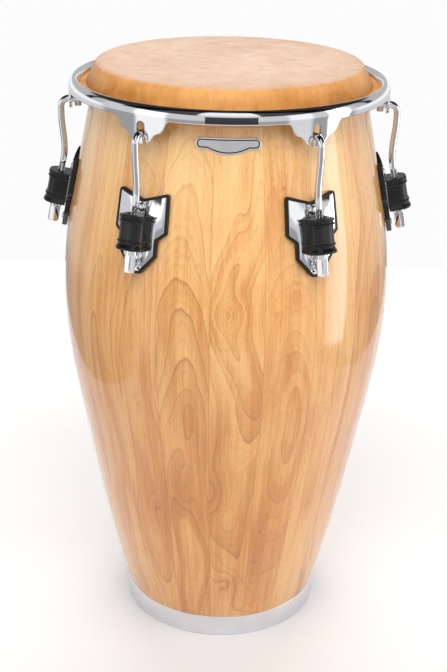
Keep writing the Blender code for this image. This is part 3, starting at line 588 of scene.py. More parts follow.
def zinc_plate():
    """Dull plated steel with a mottled bloom."""
    zinc = Finish("zinc_plate")
    place = zinc.place()
    bloom = zinc.noise(place, scale=140.0, detail=4.0)
    zinc.set(base_color=zinc.blend(bloom, ZINC_DARK, ZINC_LIGHT), metallic=1.0)
    zinc.set(roughness=bloom * 0.3 + 0.3, normal=zinc.bump(bloom, 0.00005, 0.4))
    return zinc.material


zinc_finish = zinc_plate()
for lug in LUGS:
    strap = frame["nodes"][f"backing_strap_{lug}"]
    strap.data.materials.clear()
    strap.data.materials.append(zinc_finish)


# Bottom ring. A band of satin stainless steel pressed over the foot of the shell, with a
# flange turned in under the staves; its cut edges are broken and it is brushed round.
RING_WALL = 0.002
RING_FOOT = 0.0025
RING_FLANGE = 0.012
RING_EDGE_ROUND = 0.0007
STEEL_LIGHT = (245, 245, 247)
STEEL_DARK = (206, 207, 212)


def satin_steel():
    """Stainless steel brushed round the drum."""
    steel = Finish("satin_steel")
    x, y, height = steel.parts(steel.place())
    turn = steel.math("ARCTAN2", y, x)
    lines = steel.noise((turn * 5, 0.0, height * 3600), detail=3.0, roughness=0.7)
    cloud = steel.noise((turn * 6, 0.0, height * 60), detail=2.0)
    steel.set(base_color=steel.blend(lines * 0.6 + cloud * 0.4, STEEL_DARK, STEEL_LIGHT))
    steel.set(metallic=1.0, roughness=lines * 0.14 + 0.24, normal=steel.bump(lines, 0.00002, 0.5))
    return steel.material


def bottom_ring_piece():
    """Rounded band with its flange."""
    radius = max(ring[0] for ring in rings_of("bottom_ring"))
    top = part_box("bottom_ring")[1].z
    edge = RING_EDGE_ROUND
    profile = [(radius - RING_FLANGE, 0.0)]
    profile += arc((radius - edge * 2, edge * 2), edge * 2, -90, 0, 5)
    profile += arc((radius - edge, top - edge), edge, 0, 90, 4)
    inner = radius - RING_WALL
    profile += [(inner, top), (inner, RING_FOOT), (radius - RING_FLANGE, RING_FOOT)]
    return turned("foot_band", profile, satin_steel())


foot_band = bottom_ring_piece()
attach(foot_band, "root")
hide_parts("bottom_ring")


# Rubber gaskets. A moulded black gasket lies under each side plate and shows as a border
# all round it, with rounded corners.
ROD_STANDOFF = 0.0173
GASKET_THICKNESS = 0.0025
GASKET_BORDER = 0.003
UPPER_BOLT = 0.0248
LOWER_BOLT = -0.0378
NOTCH_RISE = 0.0085
WING_HALF_WIDTH = 0.0325
WING_RISE = 0.010
WING_HEIGHT = 0.045
WAIST_HALF_WIDTH = 0.0218
WAIST_STEP = 0.0085
WAIST_HEIGHT = 0.018
TIP_HALF_WIDTH = 0.0045
TIP_DROP = 0.0115
GASKET_LIP = 0.0031
CORNER_ROUND = 0.0036
CORNER_STEPS = 5
SHEET_CUTS = 14
RUBBER = (17, 16, 17)
RUBBER_WORN = (42, 40, 41)


def lug_frame():
    """Placement of lug 1's seat: x points out of the shell, y runs across it and z up along it."""
    up = Vector(first_joint["axis"]).normalized()
    rod = Vector(first_joint["pos_m"])
    across = Vector((0, 0, 1)).cross(Vector((rod.x, rod.y, 0))).normalized()
    out = across.cross(up)
    return Matrix.Translation(rod - out * ROD_STANDOFF) @ Matrix((out, across, up)).transposed().to_4x4()


first_joint = next(joint for joint in frame["joints"] if joint["name"] == "nut_turn_1")
first_frame = lug_frame()
lug_turns = [Matrix.Rotation(math.radians(LUG_ANGLE * (lug - 1)), 4, "Z") for lug in LUGS]


def lug_pieces(name, mesh, finish, node, body=None):
    """One piece for each lug, turned round from lug 1, that stands for the lug's own CAD node.

    Without a body of its own, each is fixed to the drum.
    """
    mesh.materials.clear()
    mesh.materials.append(finish)
    for lug, turn in zip(LUGS, lug_turns):
        copy = mesh.copy()
        copy.transform(turn)
        piece = in_scene(f"{name}_{lug}", copy)
        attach(piece, f"{body}_{lug}" if body else "root")
        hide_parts(f"{node}_{lug}")


def bent_round(across, up, depth):
    """Place on lug 1 of a point on a sheet that is bent round the drum's axis."""
    turn = Matrix.Rotation(across / first_frame.translation.x, 4, "Z")
    return turn @ first_frame @ Vector((depth, 0, up))


def plate_corners():
    """Corners of the gasket: wings with a notch between them, a waist below and a tip."""
    wing_top = UPPER_BOLT + NOTCH_RISE + WING_RISE
    wing_bottom = wing_top - WING_HEIGHT
    waist_top = wing_bottom - WAIST_STEP
    right = [(TIP_HALF_WIDTH, LOWER_BOLT - TIP_DROP), (WAIST_HALF_WIDTH, waist_top - WAIST_HEIGHT),
             (WAIST_HALF_WIDTH, waist_top), (WING_HALF_WIDTH, wing_bottom), (WING_HALF_WIDTH, wing_top),
             (0, UPPER_BOLT + NOTCH_RISE)]
    return right + [(-across, up) for across, up in reversed(right) if across > 0]


def rounded_outline(corners, inset, corner_round=CORNER_ROUND, steps=CORNER_STEPS):
    """Anticlockwise outline moved in by an inset, with each corner rounded off."""
    points = [Vector(corner) for corner in corners]
    outline = []
    for i, corner in enumerate(points):
        before = (corner - points[i - 1]).normalized()
        after = (points[(i + 1) % len(points)] - corner).normalized()
        bend = before.cross(after)
        inward = Vector((-before.y, before.x))
        middle = (inward + Vector((-after.y, after.x))).normalized()
        shrunk = corner + middle * inset / middle.dot(inward)
        turn = math.acos(max(-1.0, min(1.0, before.dot(after))))
        radius = corner_round - inset if bend > 0 else corner_round + inset
        back = radius * math.tan(turn / 2)
        centre = shrunk - before * back + inward * math.copysign(radius, bend)
        start = shrunk - before * back - centre
        for k in range(steps + 1):
            angle = math.copysign(turn * k / steps, bend)
            spin = Matrix.Rotation(angle, 2)
            outline.append(centre + spin @ start)
    return outline


def at_height(plan, height):
    """Ring of points that a plan makes at a height."""
    return [Vector((x, y, height)) for x, y in plan]


def skinned(rings, closed=False):
    """Form skinned over rings of equal count, band by band, then capped or joined end to start."""
    form = bmesh.new()
    loops = [[form.verts.new(point) for point in ring] for ring in rings]
    pairs = list(zip(loops, loops[1:])) + ([(loops[-1], loops[0])] if closed else [])
    for first, second in pairs:
        for i in range(len(first)):
            j = (i + 1) % len(first)
            form.faces.new([first[i], first[j], second[j], second[i]])
    if not closed:
        form.faces.new(loops[0])
        form.faces.new(loops[-1])
    return form


def cut_across(form, places):
    """Cuts a flat form at places across it, so that it can bend there."""
    for place in places:
        geometry = form.verts[:] + form.edges[:] + form.faces[:]
        bmesh.ops.bisect_plane(form, geom=geometry, plane_co=(place, 0, 0), plane_no=(1, 0, 0))


def mesh_of(name, form):
    """Finished mesh of a form, which is used up."""
    mesh = bpy.data.meshes.new(name)
    form.to_mesh(mesh)
    form.free()
    return finish_mesh(mesh)


def bent_sheet(name, corners, layers, cuts, depth_at=None):
    """Sheet skinned over outlines of (inset, depth), closed at both ends and bent round the drum.

    depth_at changes the depth of a point from its place across and its layer's depth.
    """
    form = skinned([at_height(rounded_outline(corners, inset), depth) for inset, depth in layers])
    cut_across(form, cuts)
    for vert in form.verts:
        across, up, depth = vert.co
        vert.co = bent_round(across, up, depth_at(across, depth) if depth_at else depth)
    return mesh_of(name, form)


def even_cuts(half_width, count):
    """Places across a sheet where it is bent."""
    return [-half_width + 2 * half_width * i / count for i in range(1, count)]


def black_rubber():
    """Moulded rubber, satin, with a fine skin and a little dust on it."""
    rubber = Finish("black_rubber")
    place = rubber.place()
    skin = rubber.noise(place, scale=900.0, detail=3.0)
    dust = rubber.noise(place, scale=60.0, detail=5.0, roughness=0.7)
    rubber.set(base_color=rubber.blend((dust - 0.45) * 0.8, RUBBER, RUBBER_WORN))
    rubber.set(roughness=dust * 0.2 + 0.2, specular_IOR_level=0.4, normal=rubber.bump(skin, 0.00004, 0.6))
    return rubber.material


rubber_finish = black_rubber()
lip_top = GASKET_THICKNESS + GASKET_LIP
gasket_layers = [
    (0.0003, 0.0), (0.0, 0.0004), (0.0, lip_top - 0.0009), (0.0003, lip_top - 0.0003),
    (0.0009, lip_top), (GASKET_BORDER - 0.0007, lip_top), (GASKET_BORDER - 0.0002, lip_top - 0.0004),
    (GASKET_BORDER - 0.0001, GASKET_THICKNESS),
]
sheet_cuts = even_cuts(WING_HALF_WIDTH, SHEET_CUTS)
gasket = bent_sheet("gasket", plate_corners(), gasket_layers, sheet_cuts)
lug_pieces("gasket", gasket, rubber_finish, "lug_gasket")


# Side plates. Each is one chromed zinc casting: a plate with a sunk channel down its
# middle, and the lug block that stands on it, bored for the tension rod.
PLATE_THICKNESS = 0.0025
PLATE_BACK = GASKET_THICKNESS + 0.0003
PLATE_FRONT = PLATE_BACK + PLATE_THICKNESS
PLATE_EDGE = 0.0007
CHANNEL_HALF_WIDTH = 0.007
CHANNEL_DEPTH = 0.001
CHANNEL_SLOPE = 0.0008
BLOCK_TOP = 0.0150
BLOCK_BOTTOM = -0.0193
BLOCK_HALF_WIDTH = 0.0125
BLOCK_DEPTH = 0.0228
BLOCK_CORNER = 0.009
BLOCK_ROUND = 0.002
BLOCK_BREAK = 0.0006
BLOCK_FOOT = 0.0008
ROD_RADIUS = 0.004
BORE_CLEARANCE = 0.0005
BORE_SIDES = 32
CHROME = (236, 237, 240)
CHROME_DULL = (214, 216, 221)


def channel_depth(across, depth):
    """Depth in the plate, whose front is sunk along its middle."""
    if depth < PLATE_FRONT - TOUCHING:
        return depth
    inside = (CHANNEL_HALF_WIDTH + CHANNEL_SLOPE / 2 - abs(across)) / CHANNEL_SLOPE
    return depth - CHANNEL_DEPTH * min(1.0, max(0.0, inside))


def block_plan(proud, corner_steps=8):
    """Plan of the block from its back right corner round its front, moved out by a distance."""
    half_width = BLOCK_HALF_WIDTH + proud
    corner = BLOCK_CORNER + proud
    front = PLATE_FRONT + BLOCK_DEPTH + proud
    back = PLATE_BACK + BLOCK_FOOT
    right = arc((front - corner, -(half_width - corner)), corner, -90, 0, corner_steps)
    left = arc((front - corner, half_width - corner), corner, 0, 90, corner_steps)
    return [(back, -half_width)] + right + left + [(back, half_width)]


def combined(base, tool, operation):
    """Mesh cut by another, or joined to it; both are used up."""
    body = in_scene("body", base)
    cutter = in_scene("cutter", tool)
    modifier = body.modifiers.new("cut", "BOOLEAN")
    modifier.operation = operation
    modifier.object = cutter
    result = evaluated_mesh(body, base.name)
    bpy.data.objects.remove(cutter)
    return result


def circle(radius, sides, height, middle=0.0):
    """Ring of points round an upright axis, whose middle lies at a distance along x."""
    return at_height(arc((middle, 0.0), radius, 0, 360, sides)[:-1], height)


def skin_over(name, rings, closed=False):
    """Finished mesh skinned over rings of points."""
    return mesh_of(name, skinned(rings, closed))


def rod_bore(low, high):
    """Cutter, in lug 1's own frame, for the bore that its rod goes through."""
    radius = ROD_RADIUS + BORE_CLEARANCE
    return skin_over("bore", [circle(radius, BORE_SIDES, height, ROD_STANDOFF) for height in (low, high)])


def block_mesh():
    """Lug block with a softly rounded top, bored for the rod."""
    rings = [at_height(block_plan(-BLOCK_BREAK), BLOCK_BOTTOM)]
    rings += [at_height(block_plan(0.0), BLOCK_BOTTOM + BLOCK_BREAK)]
    for step in range(6):
        angle = math.pi / 2 * step / 5
        proud = -BLOCK_ROUND * (1 - math.cos(angle))
        rings.append(at_height(block_plan(proud), BLOCK_TOP - BLOCK_ROUND * (1 - math.sin(angle))))
    reach = BLOCK_TOP - BLOCK_BOTTOM
    bore = rod_bore(BLOCK_BOTTOM - reach, BLOCK_TOP + reach)
    block = combined(skin_over("block", rings), bore, "DIFFERENCE")
    block.transform(first_frame)
    return block


def chrome():
    """Mirror chrome with faint polishing marks and finger haze."""
    metal = Finish("chrome")
    place = metal.place()
    haze = metal.noise(place, scale=26.0, detail=5.0, roughness=0.65)
    marks = metal.noise(place, scale=700.0, detail=2.0)
    metal.set(base_color=metal.blend(haze * 0.5 + marks * 0.2, CHROME, CHROME_DULL))
    metal.set(metallic=1.0, roughness=haze * 0.05 + 0.035, normal=metal.bump(marks, 0.000004, 0.5))
    return metal.material


chrome_finish = chrome()
soft_edge = PLATE_EDGE * 0.3
plate_layers = [
    (GASKET_BORDER, PLATE_BACK), (GASKET_BORDER, PLATE_FRONT - PLATE_EDGE),
    (GASKET_BORDER + soft_edge, PLATE_FRONT - soft_edge), (GASKET_BORDER + PLATE_EDGE, PLATE_FRONT),
]
channel_edges = [side * (CHANNEL_HALF_WIDTH + offset) for side in (-1, 1)
                 for offset in (-CHANNEL_SLOPE / 2, CHANNEL_SLOPE / 2)]
plate = bent_sheet("plate", plate_corners(), plate_layers, sheet_cuts + channel_edges, channel_depth)
lug_pieces("side_plate", finish_mesh(combined(plate, block_mesh(), "UNION")), chrome_finish, "lug_plate")


# Rubber sleeves. A black moulded sleeve caps each block and covers three of its sides, with
# a flange, a groove and a bead above, and a bead and a flared skirt below.
SLEEVE_GAP = 0.0003
SLEEVE_WALL = 0.0017
SLEEVE_CAP = 0.0015
SLEEVE_TOP = BLOCK_TOP + SLEEVE_GAP + SLEEVE_CAP
SLEEVE_BOTTOM = BLOCK_BOTTOM - 0.002
# Down from the top of the sleeve, and how far it stands proud of its wall, in metres
SLEEVE_PROFILE = (
    (0.0, 0.0003), (0.0004, 0.0012), (0.0026, 0.0014), (0.0032, 0.0001), (0.0052, 0.0000),
    (0.0056, 0.0014), (0.0072, 0.0014), (0.0077, 0.0000), (0.0090, -0.0002), (0.0272, -0.0001),
    (0.0277, 0.0016), (0.0293, 0.0016), (0.0298, 0.0002), (0.0318, 0.0004), (0.0344, 0.0017),
    (0.0358, 0.0025), (0.0370, 0.0025), (0.0381, 0.0018),
)


def softened(points, passes):
    """Open line of points with its corners cut again and again."""
    for _ in range(passes):
        smoother = [points[0]]
        for start, stop in zip(points, points[1:]):
            for share in (0.25, 0.75):
                smoother.append(tuple(a * (1 - share) + b * share for a, b in zip(start, stop)))
        points = smoother + [points[-1]]
    return points


def sleeve_mesh():
    """Sleeve skinned round its section, from one end of its plan to the other."""
    section = [(SLEEVE_WALL + proud, SLEEVE_TOP - down) for down, proud in softened(SLEEVE_PROFILE, 2)]
    section = [(0.0, SLEEVE_TOP)] + section + [(0.0, SLEEVE_BOTTOM)]
    back = PLATE_FRONT + SLEEVE_GAP
    plans = [[(max(x, back), y) for x, y in block_plan(SLEEVE_GAP + out)] for out, height in section]
    rings = [[Vector((x, y, height)) for (x, y), (out, height) in zip(places, section)]
             for places in zip(*plans)]
    plan = [(max(x, back), y) for x, y in block_plan(SLEEVE_GAP + SLEEVE_WALL / 2)]
    cap = skin_over("cap", [at_height(plan, height) for height in (SLEEVE_TOP - SLEEVE_CAP, SLEEVE_TOP)])
    solid = combined(skin_over("sleeve", rings), cap, "UNION")
    mesh = combined(solid, rod_bore(SLEEVE_BOTTOM, SLEEVE_TOP + SLEEVE_CAP), "DIFFERENCE")
    mesh.transform(first_frame)
    return finish_mesh(mesh)


lug_pieces("sleeve", sleeve_mesh(), rubber_finish, "lug_sleeve")


# Side plate bolts. Twelve chromed screws with domed heads and cross slots go through
# plate, gasket and shell into the backing straps.
BOLT_RADIUS = 0.003
BOLT_HEAD_RADIUS = 0.005
BOLT_HEAD_HEIGHT = 0.0033
BOLT_HEAD_EDGE = 0.0009
BOLT_POINT = 0.0008
BOLT_CROWN = 0.0003
BOLT_SIDES = 28
SLOT_LENGTH = 0.0052
SLOT_WIDTH = 0.0011
SLOT_SUNK = 0.0011


def bolt_mesh(node, up):
    """Bolt of lug 1 at a height up its seat, as long as its CAD node."""
    to_lug = first_frame.inverted()
    end = min((to_lug @ vert.co).x for vert in frame["nodes"][node].data.vertices)
    seat = PLATE_FRONT - CHANNEL_DEPTH
    rise = BOLT_HEAD_HEIGHT - BOLT_HEAD_EDGE
    levels = [(BOLT_RADIUS - BOLT_POINT * 0.75, end), (BOLT_RADIUS, end + BOLT_POINT), (BOLT_RADIUS, seat)]
    levels += [(BOLT_HEAD_RADIUS, seat)]
    for a in [math.pi / 2 * i / 8 for i in range(8)]:
        levels.append((BOLT_HEAD_RADIUS * math.cos(a), seat + BOLT_HEAD_EDGE + rise * math.sin(a)))
    levels += [(BOLT_CROWN, seat + BOLT_HEAD_HEIGHT)]
    head = skin_over("bolt", [circle(radius, BOLT_SIDES, height) for radius, height in levels])
    low = seat + BOLT_HEAD_HEIGHT - SLOT_SUNK
    high = seat + BOLT_HEAD_HEIGHT + SLOT_SUNK
    for half_x, half_y in ((SLOT_LENGTH / 2, SLOT_WIDTH / 2), (SLOT_WIDTH / 2, SLOT_LENGTH / 2)):
        corners = [(-half_x, -half_y), (half_x, -half_y), (half_x, half_y), (-half_x, half_y)]
        slot = skin_over("slot", [at_height(corners, z) for z in (low, high)])
        head = combined(head, slot, "DIFFERENCE")
    head.transform(first_frame @ Matrix.Translation((0, 0, up)) @ Matrix.Rotation(math.pi / 2, 4, "Y"))
    return finish_mesh(head)


def ring_of_copies_tree():
    """Repeats an object round the z axis and turns the copies into one mesh."""
    tree = Shaper("ring of copies", {"Source": "NodeSocketObject", "Copies": "NodeSocketInt"})
    places = tree.node("GeometryNodeMeshLine", {"Count": tree.given["Copies"], "Offset": (0, 0, 0)})
    index = Field(tree, tree.node("GeometryNodeInputIndex").outputs[0])
    step = tree.math("DIVIDE", 2 * math.pi, tree.field("Copies"))
    turn = tree.node("ShaderNodeCombineXYZ", {2: index * step})
    spin = tree.node("FunctionNodeEulerToRotation", {0: turn.outputs[0]})
    source = tree.node("GeometryNodeObjectInfo", {"Object": tree.given["Source"]})
    shape = source.outputs["Geometry"]
    inputs = {"Points": places.outputs[0], "Instance": shape, "Rotation": spin.outputs[0]}
    copies = tree.node("GeometryNodeInstanceOnPoints", inputs)
    tree.end(copies.outputs[0])
    return tree


COPIES = ring_of_copies_tree()
for node, up in (("upper_bolt", UPPER_BOLT), ("lower_bolt", LOWER_BOLT)):
    name = node + "s"
    pattern = in_scene(node + "_pattern", bolt_mesh(f"{node}_1", up))
    holder = in_scene(name + "_holder", bpy.data.meshes.new(name))
    values = {"Source": pattern, "Copies": len(LUGS), "Finish": chrome_finish}
    bolts = in_scene(name, COPIES.shape(holder, name, values))
    bpy.data.objects.remove(pattern)
    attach(bolts, "root")
    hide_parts(*[f"{node}_{lug}" for lug in LUGS])


# Badge. A thin pressed plate glued to the front of the shell: a polished border, a black
# enamelled line and a brushed field, left bare.
BADGE_HALF_LENGTH = 0.0353
BADGE_END_HEIGHT = 0.0125
BADGE_BULGE = 0.0052
BADGE_BULGE_HALF_LENGTH = 0.0223
BADGE_THICKNESS = 0.0012
BADGE_BORDER = 0.0016
BADGE_LINE = 0.0013
BADGE_LINE_BAND = 5
BADGE_GLUE = 0.0002
BADGE_CUTS = 24
ENAMEL = (16, 16, 18)
BADGE_LIGHT = (240, 239, 240)
BADGE_DARK = (186, 185, 190)


def badge_corners():
    """Outline of the badge as many short runs: straight above, round ends, a shallow arc below."""
    end_round = BADGE_END_HEIGHT / 2
    bulge_radius = (BADGE_BULGE_HALF_LENGTH ** 2 + BADGE_BULGE ** 2) / (2 * BADGE_BULGE)
    right = []
    for i in range(14):
        across = BADGE_BULGE_HALF_LENGTH * i / 14
        drop = math.sqrt(bulge_radius ** 2 - across ** 2) - bulge_radius + BADGE_BULGE
        right.append((across, -end_round - drop))
    right.append((BADGE_BULGE_HALF_LENGTH, -end_round))
    right += arc((BADGE_HALF_LENGTH - end_round, 0), end_round, -90, 90, 16)
    return right + [(-across, up) for across, up in reversed(right) if across > 0]


def inset_line(outline, distance):
    """Closed anticlockwise line moved in by a distance."""
    points = [Vector(point) for point in outline]
    moved = []
    for i, point in enumerate(points):
        along = (points[(i + 1) % len(points)] - points[i - 1]).normalized()
        moved.append(point + Vector((-along.y, along.x)) * distance)
    return moved


def enamel():
    """Glossy black enamel sunk in the badge's line."""
    paint = Finish("black_enamel")
    grain = paint.noise(paint.place(), scale=500.0)
    paint.set(base_color=paint.blend(grain * 0.2, ENAMEL, RUBBER_WORN))
    paint.set(roughness=0.25, specular_IOR_level=0.2)
    return paint.material


def brushed_badge():
    """Bare field, brushed along its length and a little mottled."""
    metal = Finish("brushed_badge")
    x, y, height = metal.parts(metal.place())
    lines = metal.noise((x * 60, 0.0, height * 4200), detail=3.0, roughness=0.7)
    cloud = metal.noise((x * 70, 0.0, height * 90), detail=3.0)
    metal.set(base_color=metal.blend(lines * 0.6 + cloud * 0.4, BADGE_DARK, BADGE_LIGHT))
    metal.set(metallic=1.0, roughness=lines * 0.2 + 0.26, normal=metal.bump(lines, 0.00003, 0.6))
    return metal.material


def badge_piece():
    """Badge bent to the shell, with its line sunk between border and field."""
    low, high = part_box("badge")
    middle_height = high.z - BADGE_END_HEIGHT / 2
    line = BADGE_BORDER + BADGE_LINE
    top = BADGE_THICKNESS
    layers = [
        (0.0, 0.0), (0.0, top - 0.0004), (0.00025, top - 0.0001), (0.0005, top),
        (BADGE_BORDER, top), (BADGE_BORDER + 0.0001, top - 0.0003),
        (line - 0.0001, top - 0.0003), (line, top - 0.0001),
    ]
    form = skinned([at_height(inset_line(badge_corners(), inset), proud) for inset, proud in layers])
    sides = len(badge_corners())
    faces = list(form.faces)
    for face in faces[BADGE_LINE_BAND * sides:(BADGE_LINE_BAND + 1) * sides]:
        face.material_index = 1
    faces[-1].material_index = 2
    cut_across(form, even_cuts(BADGE_HALF_LENGTH, BADGE_CUTS))
    middle_radius = shell_radius(middle_height)
    for vert in form.verts:
        across, up, proud = vert.co
        radius = shell_radius(middle_height + up) + proud + BADGE_GLUE
        angle = across / middle_radius
        vert.co = (radius * math.sin(angle), -radius * math.cos(angle), middle_height + up)
    mesh = mesh_of("badge_plate", form)
    for finish in (chrome_finish, enamel(), brushed_badge()):
        mesh.materials.append(finish)
    return in_scene("badge_plate", mesh)


badge_plate = badge_piece()
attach(badge_plate, "root")
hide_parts("badge")


# Flesh hoop. A round steel ring that the wet hide is wrapped round; it hides inside the
# rolled edge of the skin, under the rim.
HOOP_ROD_RADIUS = 0.0038
hoop_rings = rings_of("flesh_hoop")
hoop_radius = (hoop_rings[0][0] + hoop_rings[-1][0]) / 2
hoop_low, hoop_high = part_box("flesh_hoop")
hoop_height = (hoop_low.z + hoop_high.z) / 2
hoop_line = arc((hoop_radius, hoop_height), HOOP_ROD_RADIUS, 0, 360, 20)[:-1]
hoop = turned("flesh_hoop_ring", hoop_line, zinc_finish)
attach(hoop, "rim_body")
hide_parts("flesh_hoop")


# Skin. One hide, soaked and drawn over the bearing edge: a flat playing face, a rounded
# crown, a skirt that flares out, and an edge rolled round the flesh hoop. It is one piece
# from the shell to the rim.
SKIN_THICKNESS = 0.0018
SKIN_GAP = 0.0003
SKIRT_LEAVE = 20
SKIRT_PULL = 0.9
SKIRT_ROWS = 12
LIP_HALF = 0.0055
LIP_ROUND = 0.0030
LIP_END = 0.0008
SKIRT_FILLET = 0.0020
FACE_ROWS = 40
# Painted shade: how far below the top the skirt starts to be darkened, where the rim shades it.
SKIRT_SHADE_DROP = 0.0095
FACE_DROP = 0.0004
TINT_RADIUS = 0.143
HIDE_FACE = (208, 180, 160)
HIDE_FACE_WARM = (180, 142, 112)
HIDE_SIDE = (216, 158, 92)
# The skirt's dark amber serves both its own mottle and the painted shade at its sides and under the rim.
HIDE_DEEP = (166, 104, 36)


def skin_line():
    """Middle of the hide as (radius, height) points, from the centre of the face to its tucked end."""
    half = SKIN_THICKNESS / 2
    crown = (shell_radius(edge_height) - BEARING_EDGE_ROUND, edge_height)
    crown_radius = BEARING_EDGE_ROUND + SKIN_GAP + half
    flat = [(crown[0] * i / FACE_ROWS, crown[1] + crown_radius) for i in range(FACE_ROWS)]
    bend = arc(crown, crown_radius, 90, SKIRT_LEAVE, 14)
    lip_top = hoop_height + HOOP_ROD_RADIUS + SKIN_GAP + half
    lip_bottom = hoop_height - HOOP_ROD_RADIUS - SKIN_GAP - half
    inner, outer = hoop_radius - LIP_HALF, hoop_radius + LIP_HALF
    fillet = arc((inner + SKIRT_FILLET * 0.6, lip_top + SKIRT_FILLET), SKIRT_FILLET, 200, 270, 6)
    start, stop = Vector(bend[-1]), Vector(fillet[0])
    way = Vector((math.sin(math.radians(SKIRT_LEAVE)), -math.cos(math.radians(SKIRT_LEAVE))))
    way = way * ((stop - start).length * SKIRT_PULL)
    skirt = [tuple(eased(i / SKIRT_ROWS, start, way, stop, way)) for i in range(1, SKIRT_ROWS)]
    roll = arc((outer - LIP_ROUND, lip_top - LIP_ROUND), LIP_ROUND, 90, 0, 6)
    roll += arc((outer - LIP_ROUND, lip_bottom + LIP_ROUND), LIP_ROUND, 0, -90, 6)
    roll += arc((inner + LIP_ROUND, lip_bottom + LIP_ROUND), LIP_ROUND, -90, -180, 6)
    return flat + bend + skirt + fillet + roll + [(inner, hoop_height + LIP_END)]


def thick_line(points, thickness):
    """Closed outline of a strip that follows a line from the axis, with a round far end."""
    half = thickness / 2
    places = [Vector(point) for point in points]
    ways = []
    for i in range(len(places)):
        along = places[min(i + 1, len(places) - 1)] - places[max(i - 1, 0)]
        along.normalize()
        ways.append(Vector((-along.y, along.x)))
    ways[0] = Vector((0, 1))
    upper = [place + way * half for place, way in zip(places, ways)]
    lower = [place - way * half for place, way in zip(places, ways)]
    tip = places[-1] + Vector((ways[-1].y, -ways[-1].x)) * half
    return [tuple(p) for p in upper + [tip] + list(reversed(lower))]


def hide():
    """Buffalo hide: pale and cloudy on the face, amber and streaked down the skirt, with painted shade that
    darkens the skirt at the drum's left and right sides and low down under the rim.
    """
    skin = Finish("hide")
    place = skin.place()
    x, y, height = skin.parts(place)
    radius = skin.math("SQRT", x * x + y * y)
    turn = skin.math("ARCTAN2", y, x)
    cloud = skin.noise(place, scale=11.0, detail=5.0, roughness=0.6)
    veins = skin.noise(place, scale=46.0, detail=5.0, roughness=0.65)
    pores = skin.noise(place, scale=900.0, detail=2.0)
    streaks = skin.noise((turn * 24, 0.0, height * 60), detail=4.0, roughness=0.5)
    grain = skin.noise((x * 22, y * 70, 0.0), detail=5.0, roughness=0.65)
    flecks = skin.noise((x * 70, y * 190, 0.0), detail=3.0).above(0.62, 0.08)
    mottle = (cloud - 0.5) * 1.5 + (veins - 0.5) * 1.2 + (grain - 0.5) * 0.6 + 0.35 + flecks * 0.3
    face = skin.blend(mottle, HIDE_FACE, HIDE_FACE_WARM)
    # Painted shade: the skirt is darkened low down, under the rim.
    low = (-height).above(SKIRT_SHADE_DROP - shell_high.z, 0.013) * 0.35
    skirt_mottle_and_shade = (cloud - 0.5) * 1.8 + (streaks - 0.5) * 0.7 + (veins - 0.5) * 0.8
    # The skirt's own mottle and streaks, plus painted shade that darkens it towards the drum's left and
    # right sides.
    skirt_mottle_and_shade = skirt_mottle_and_shade + (x / radius).size() * 0.42 + low
    side = skin.blend(skirt_mottle_and_shade, HIDE_SIDE, HIDE_DEEP)
    down = (-height).above(FACE_DROP - shell_high.z, 0.0018)
    rim_tint = radius.above(TINT_RADIUS, 0.05) * 0.45
    colour = skin.blend(rim_tint, face, HIDE_FACE_WARM)
    colour = skin.blend(down, colour, side)
    skin.set(base_color=colour, roughness=veins * 0.2 + 0.36, specular_IOR_level=0.45)
    skin.set(subsurface_weight=0.12, subsurface_scale=0.004)
    skin.set(normal=skin.bump(veins * 0.8 + pores * 0.35, 0.00022, 0.5))
    return skin.material


skin = turned("skin", thick_line(skin_line(), SKIN_THICKNESS), hide())
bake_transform(skin)
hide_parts("drumhead", "skin_tuck")


# Rim. A ring of steel plate with six slotted ears, rolled inwards along its top so that it
# is kind to the player's hands, then polished and chromed. A sunk panel at its front is bare.
RIM_TOP_DROP = 0.0185
RIM_HEIGHT = 0.015
RIM_CURVE_HEIGHT = 0.012
RIM_WIDTH = 0.0122
RIM_WALL = 0.003
RIM_CURL = 150
RIM_COLUMNS = 720
CURL_ROWS = 16
EAR_DEPTH = 0.0275
EAR_HALF_WIDTH = 0.034
EAR_SHAPE = (
    (0, 1), (0.13, 0.98), (0.25, 0.91), (0.37, 0.79), (0.46, 0.63),
    (0.56, 0.54), (0.70, 0.48), (0.80, 0.34), (0.88, 0.11), (1, 0),
)
EAR_ROWS = 12
SLOT_HEIGHT = 0.018
EAR_LAND = 0.0075
SLOT_HALF_WIDTH = 0.0052
PANEL_LEFT, PANEL_RIGHT = -0.025, 0.031
PANEL_LOW, PANEL_HIGH = 0.679, 0.686
PANEL_SUNK = 0.0008
PANEL_COLUMNS = 24
PANEL_ROWS = 6
PANEL_DARK = (52, 52, 56)
PANEL_LIGHT = (96, 96, 102)
RIM_RADIUS = max(math.hypot(vert.co.x, vert.co.y) for vert in frame["nodes"]["rim"].data.vertices)
RIM_EDGE = cad_box[1].z - RIM_TOP_DROP - RIM_HEIGHT
RIM_SHOULDER = cad_box[1].z - RIM_TOP_DROP - RIM_CURVE_HEIGHT
CURL_RADIUS = RIM_WIDTH / (1 - math.cos(math.radians(RIM_CURL)))


def ear_drop(across):
    """How far the rim's lower edge drops at a distance from the middle of an ear."""
    share = abs(across) / EAR_HALF_WIDTH
    if share >= 1:
        return 0.0
    i = next(k for k in range(len(EAR_SHAPE) - 1) if share <= EAR_SHAPE[k + 1][0])
    mirrored_shape = [(-EAR_SHAPE[1][0], EAR_SHAPE[1][1])] + list(EAR_SHAPE) + [(1.12, 0)]
    return smooth_between(mirrored_shape, share) * EAR_DEPTH


def curl_point(inset, share):
    """(radius, height) on the rolled top, moved in from its outer face, from shoulder to lip."""
    angle = math.radians(RIM_CURL) * share
    return (RIM_RADIUS - CURL_RADIUS + (CURL_RADIUS - inset) * math.cos(angle),
            RIM_SHOULDER + (RIM_CURVE_HEIGHT - inset) * math.sin(angle))


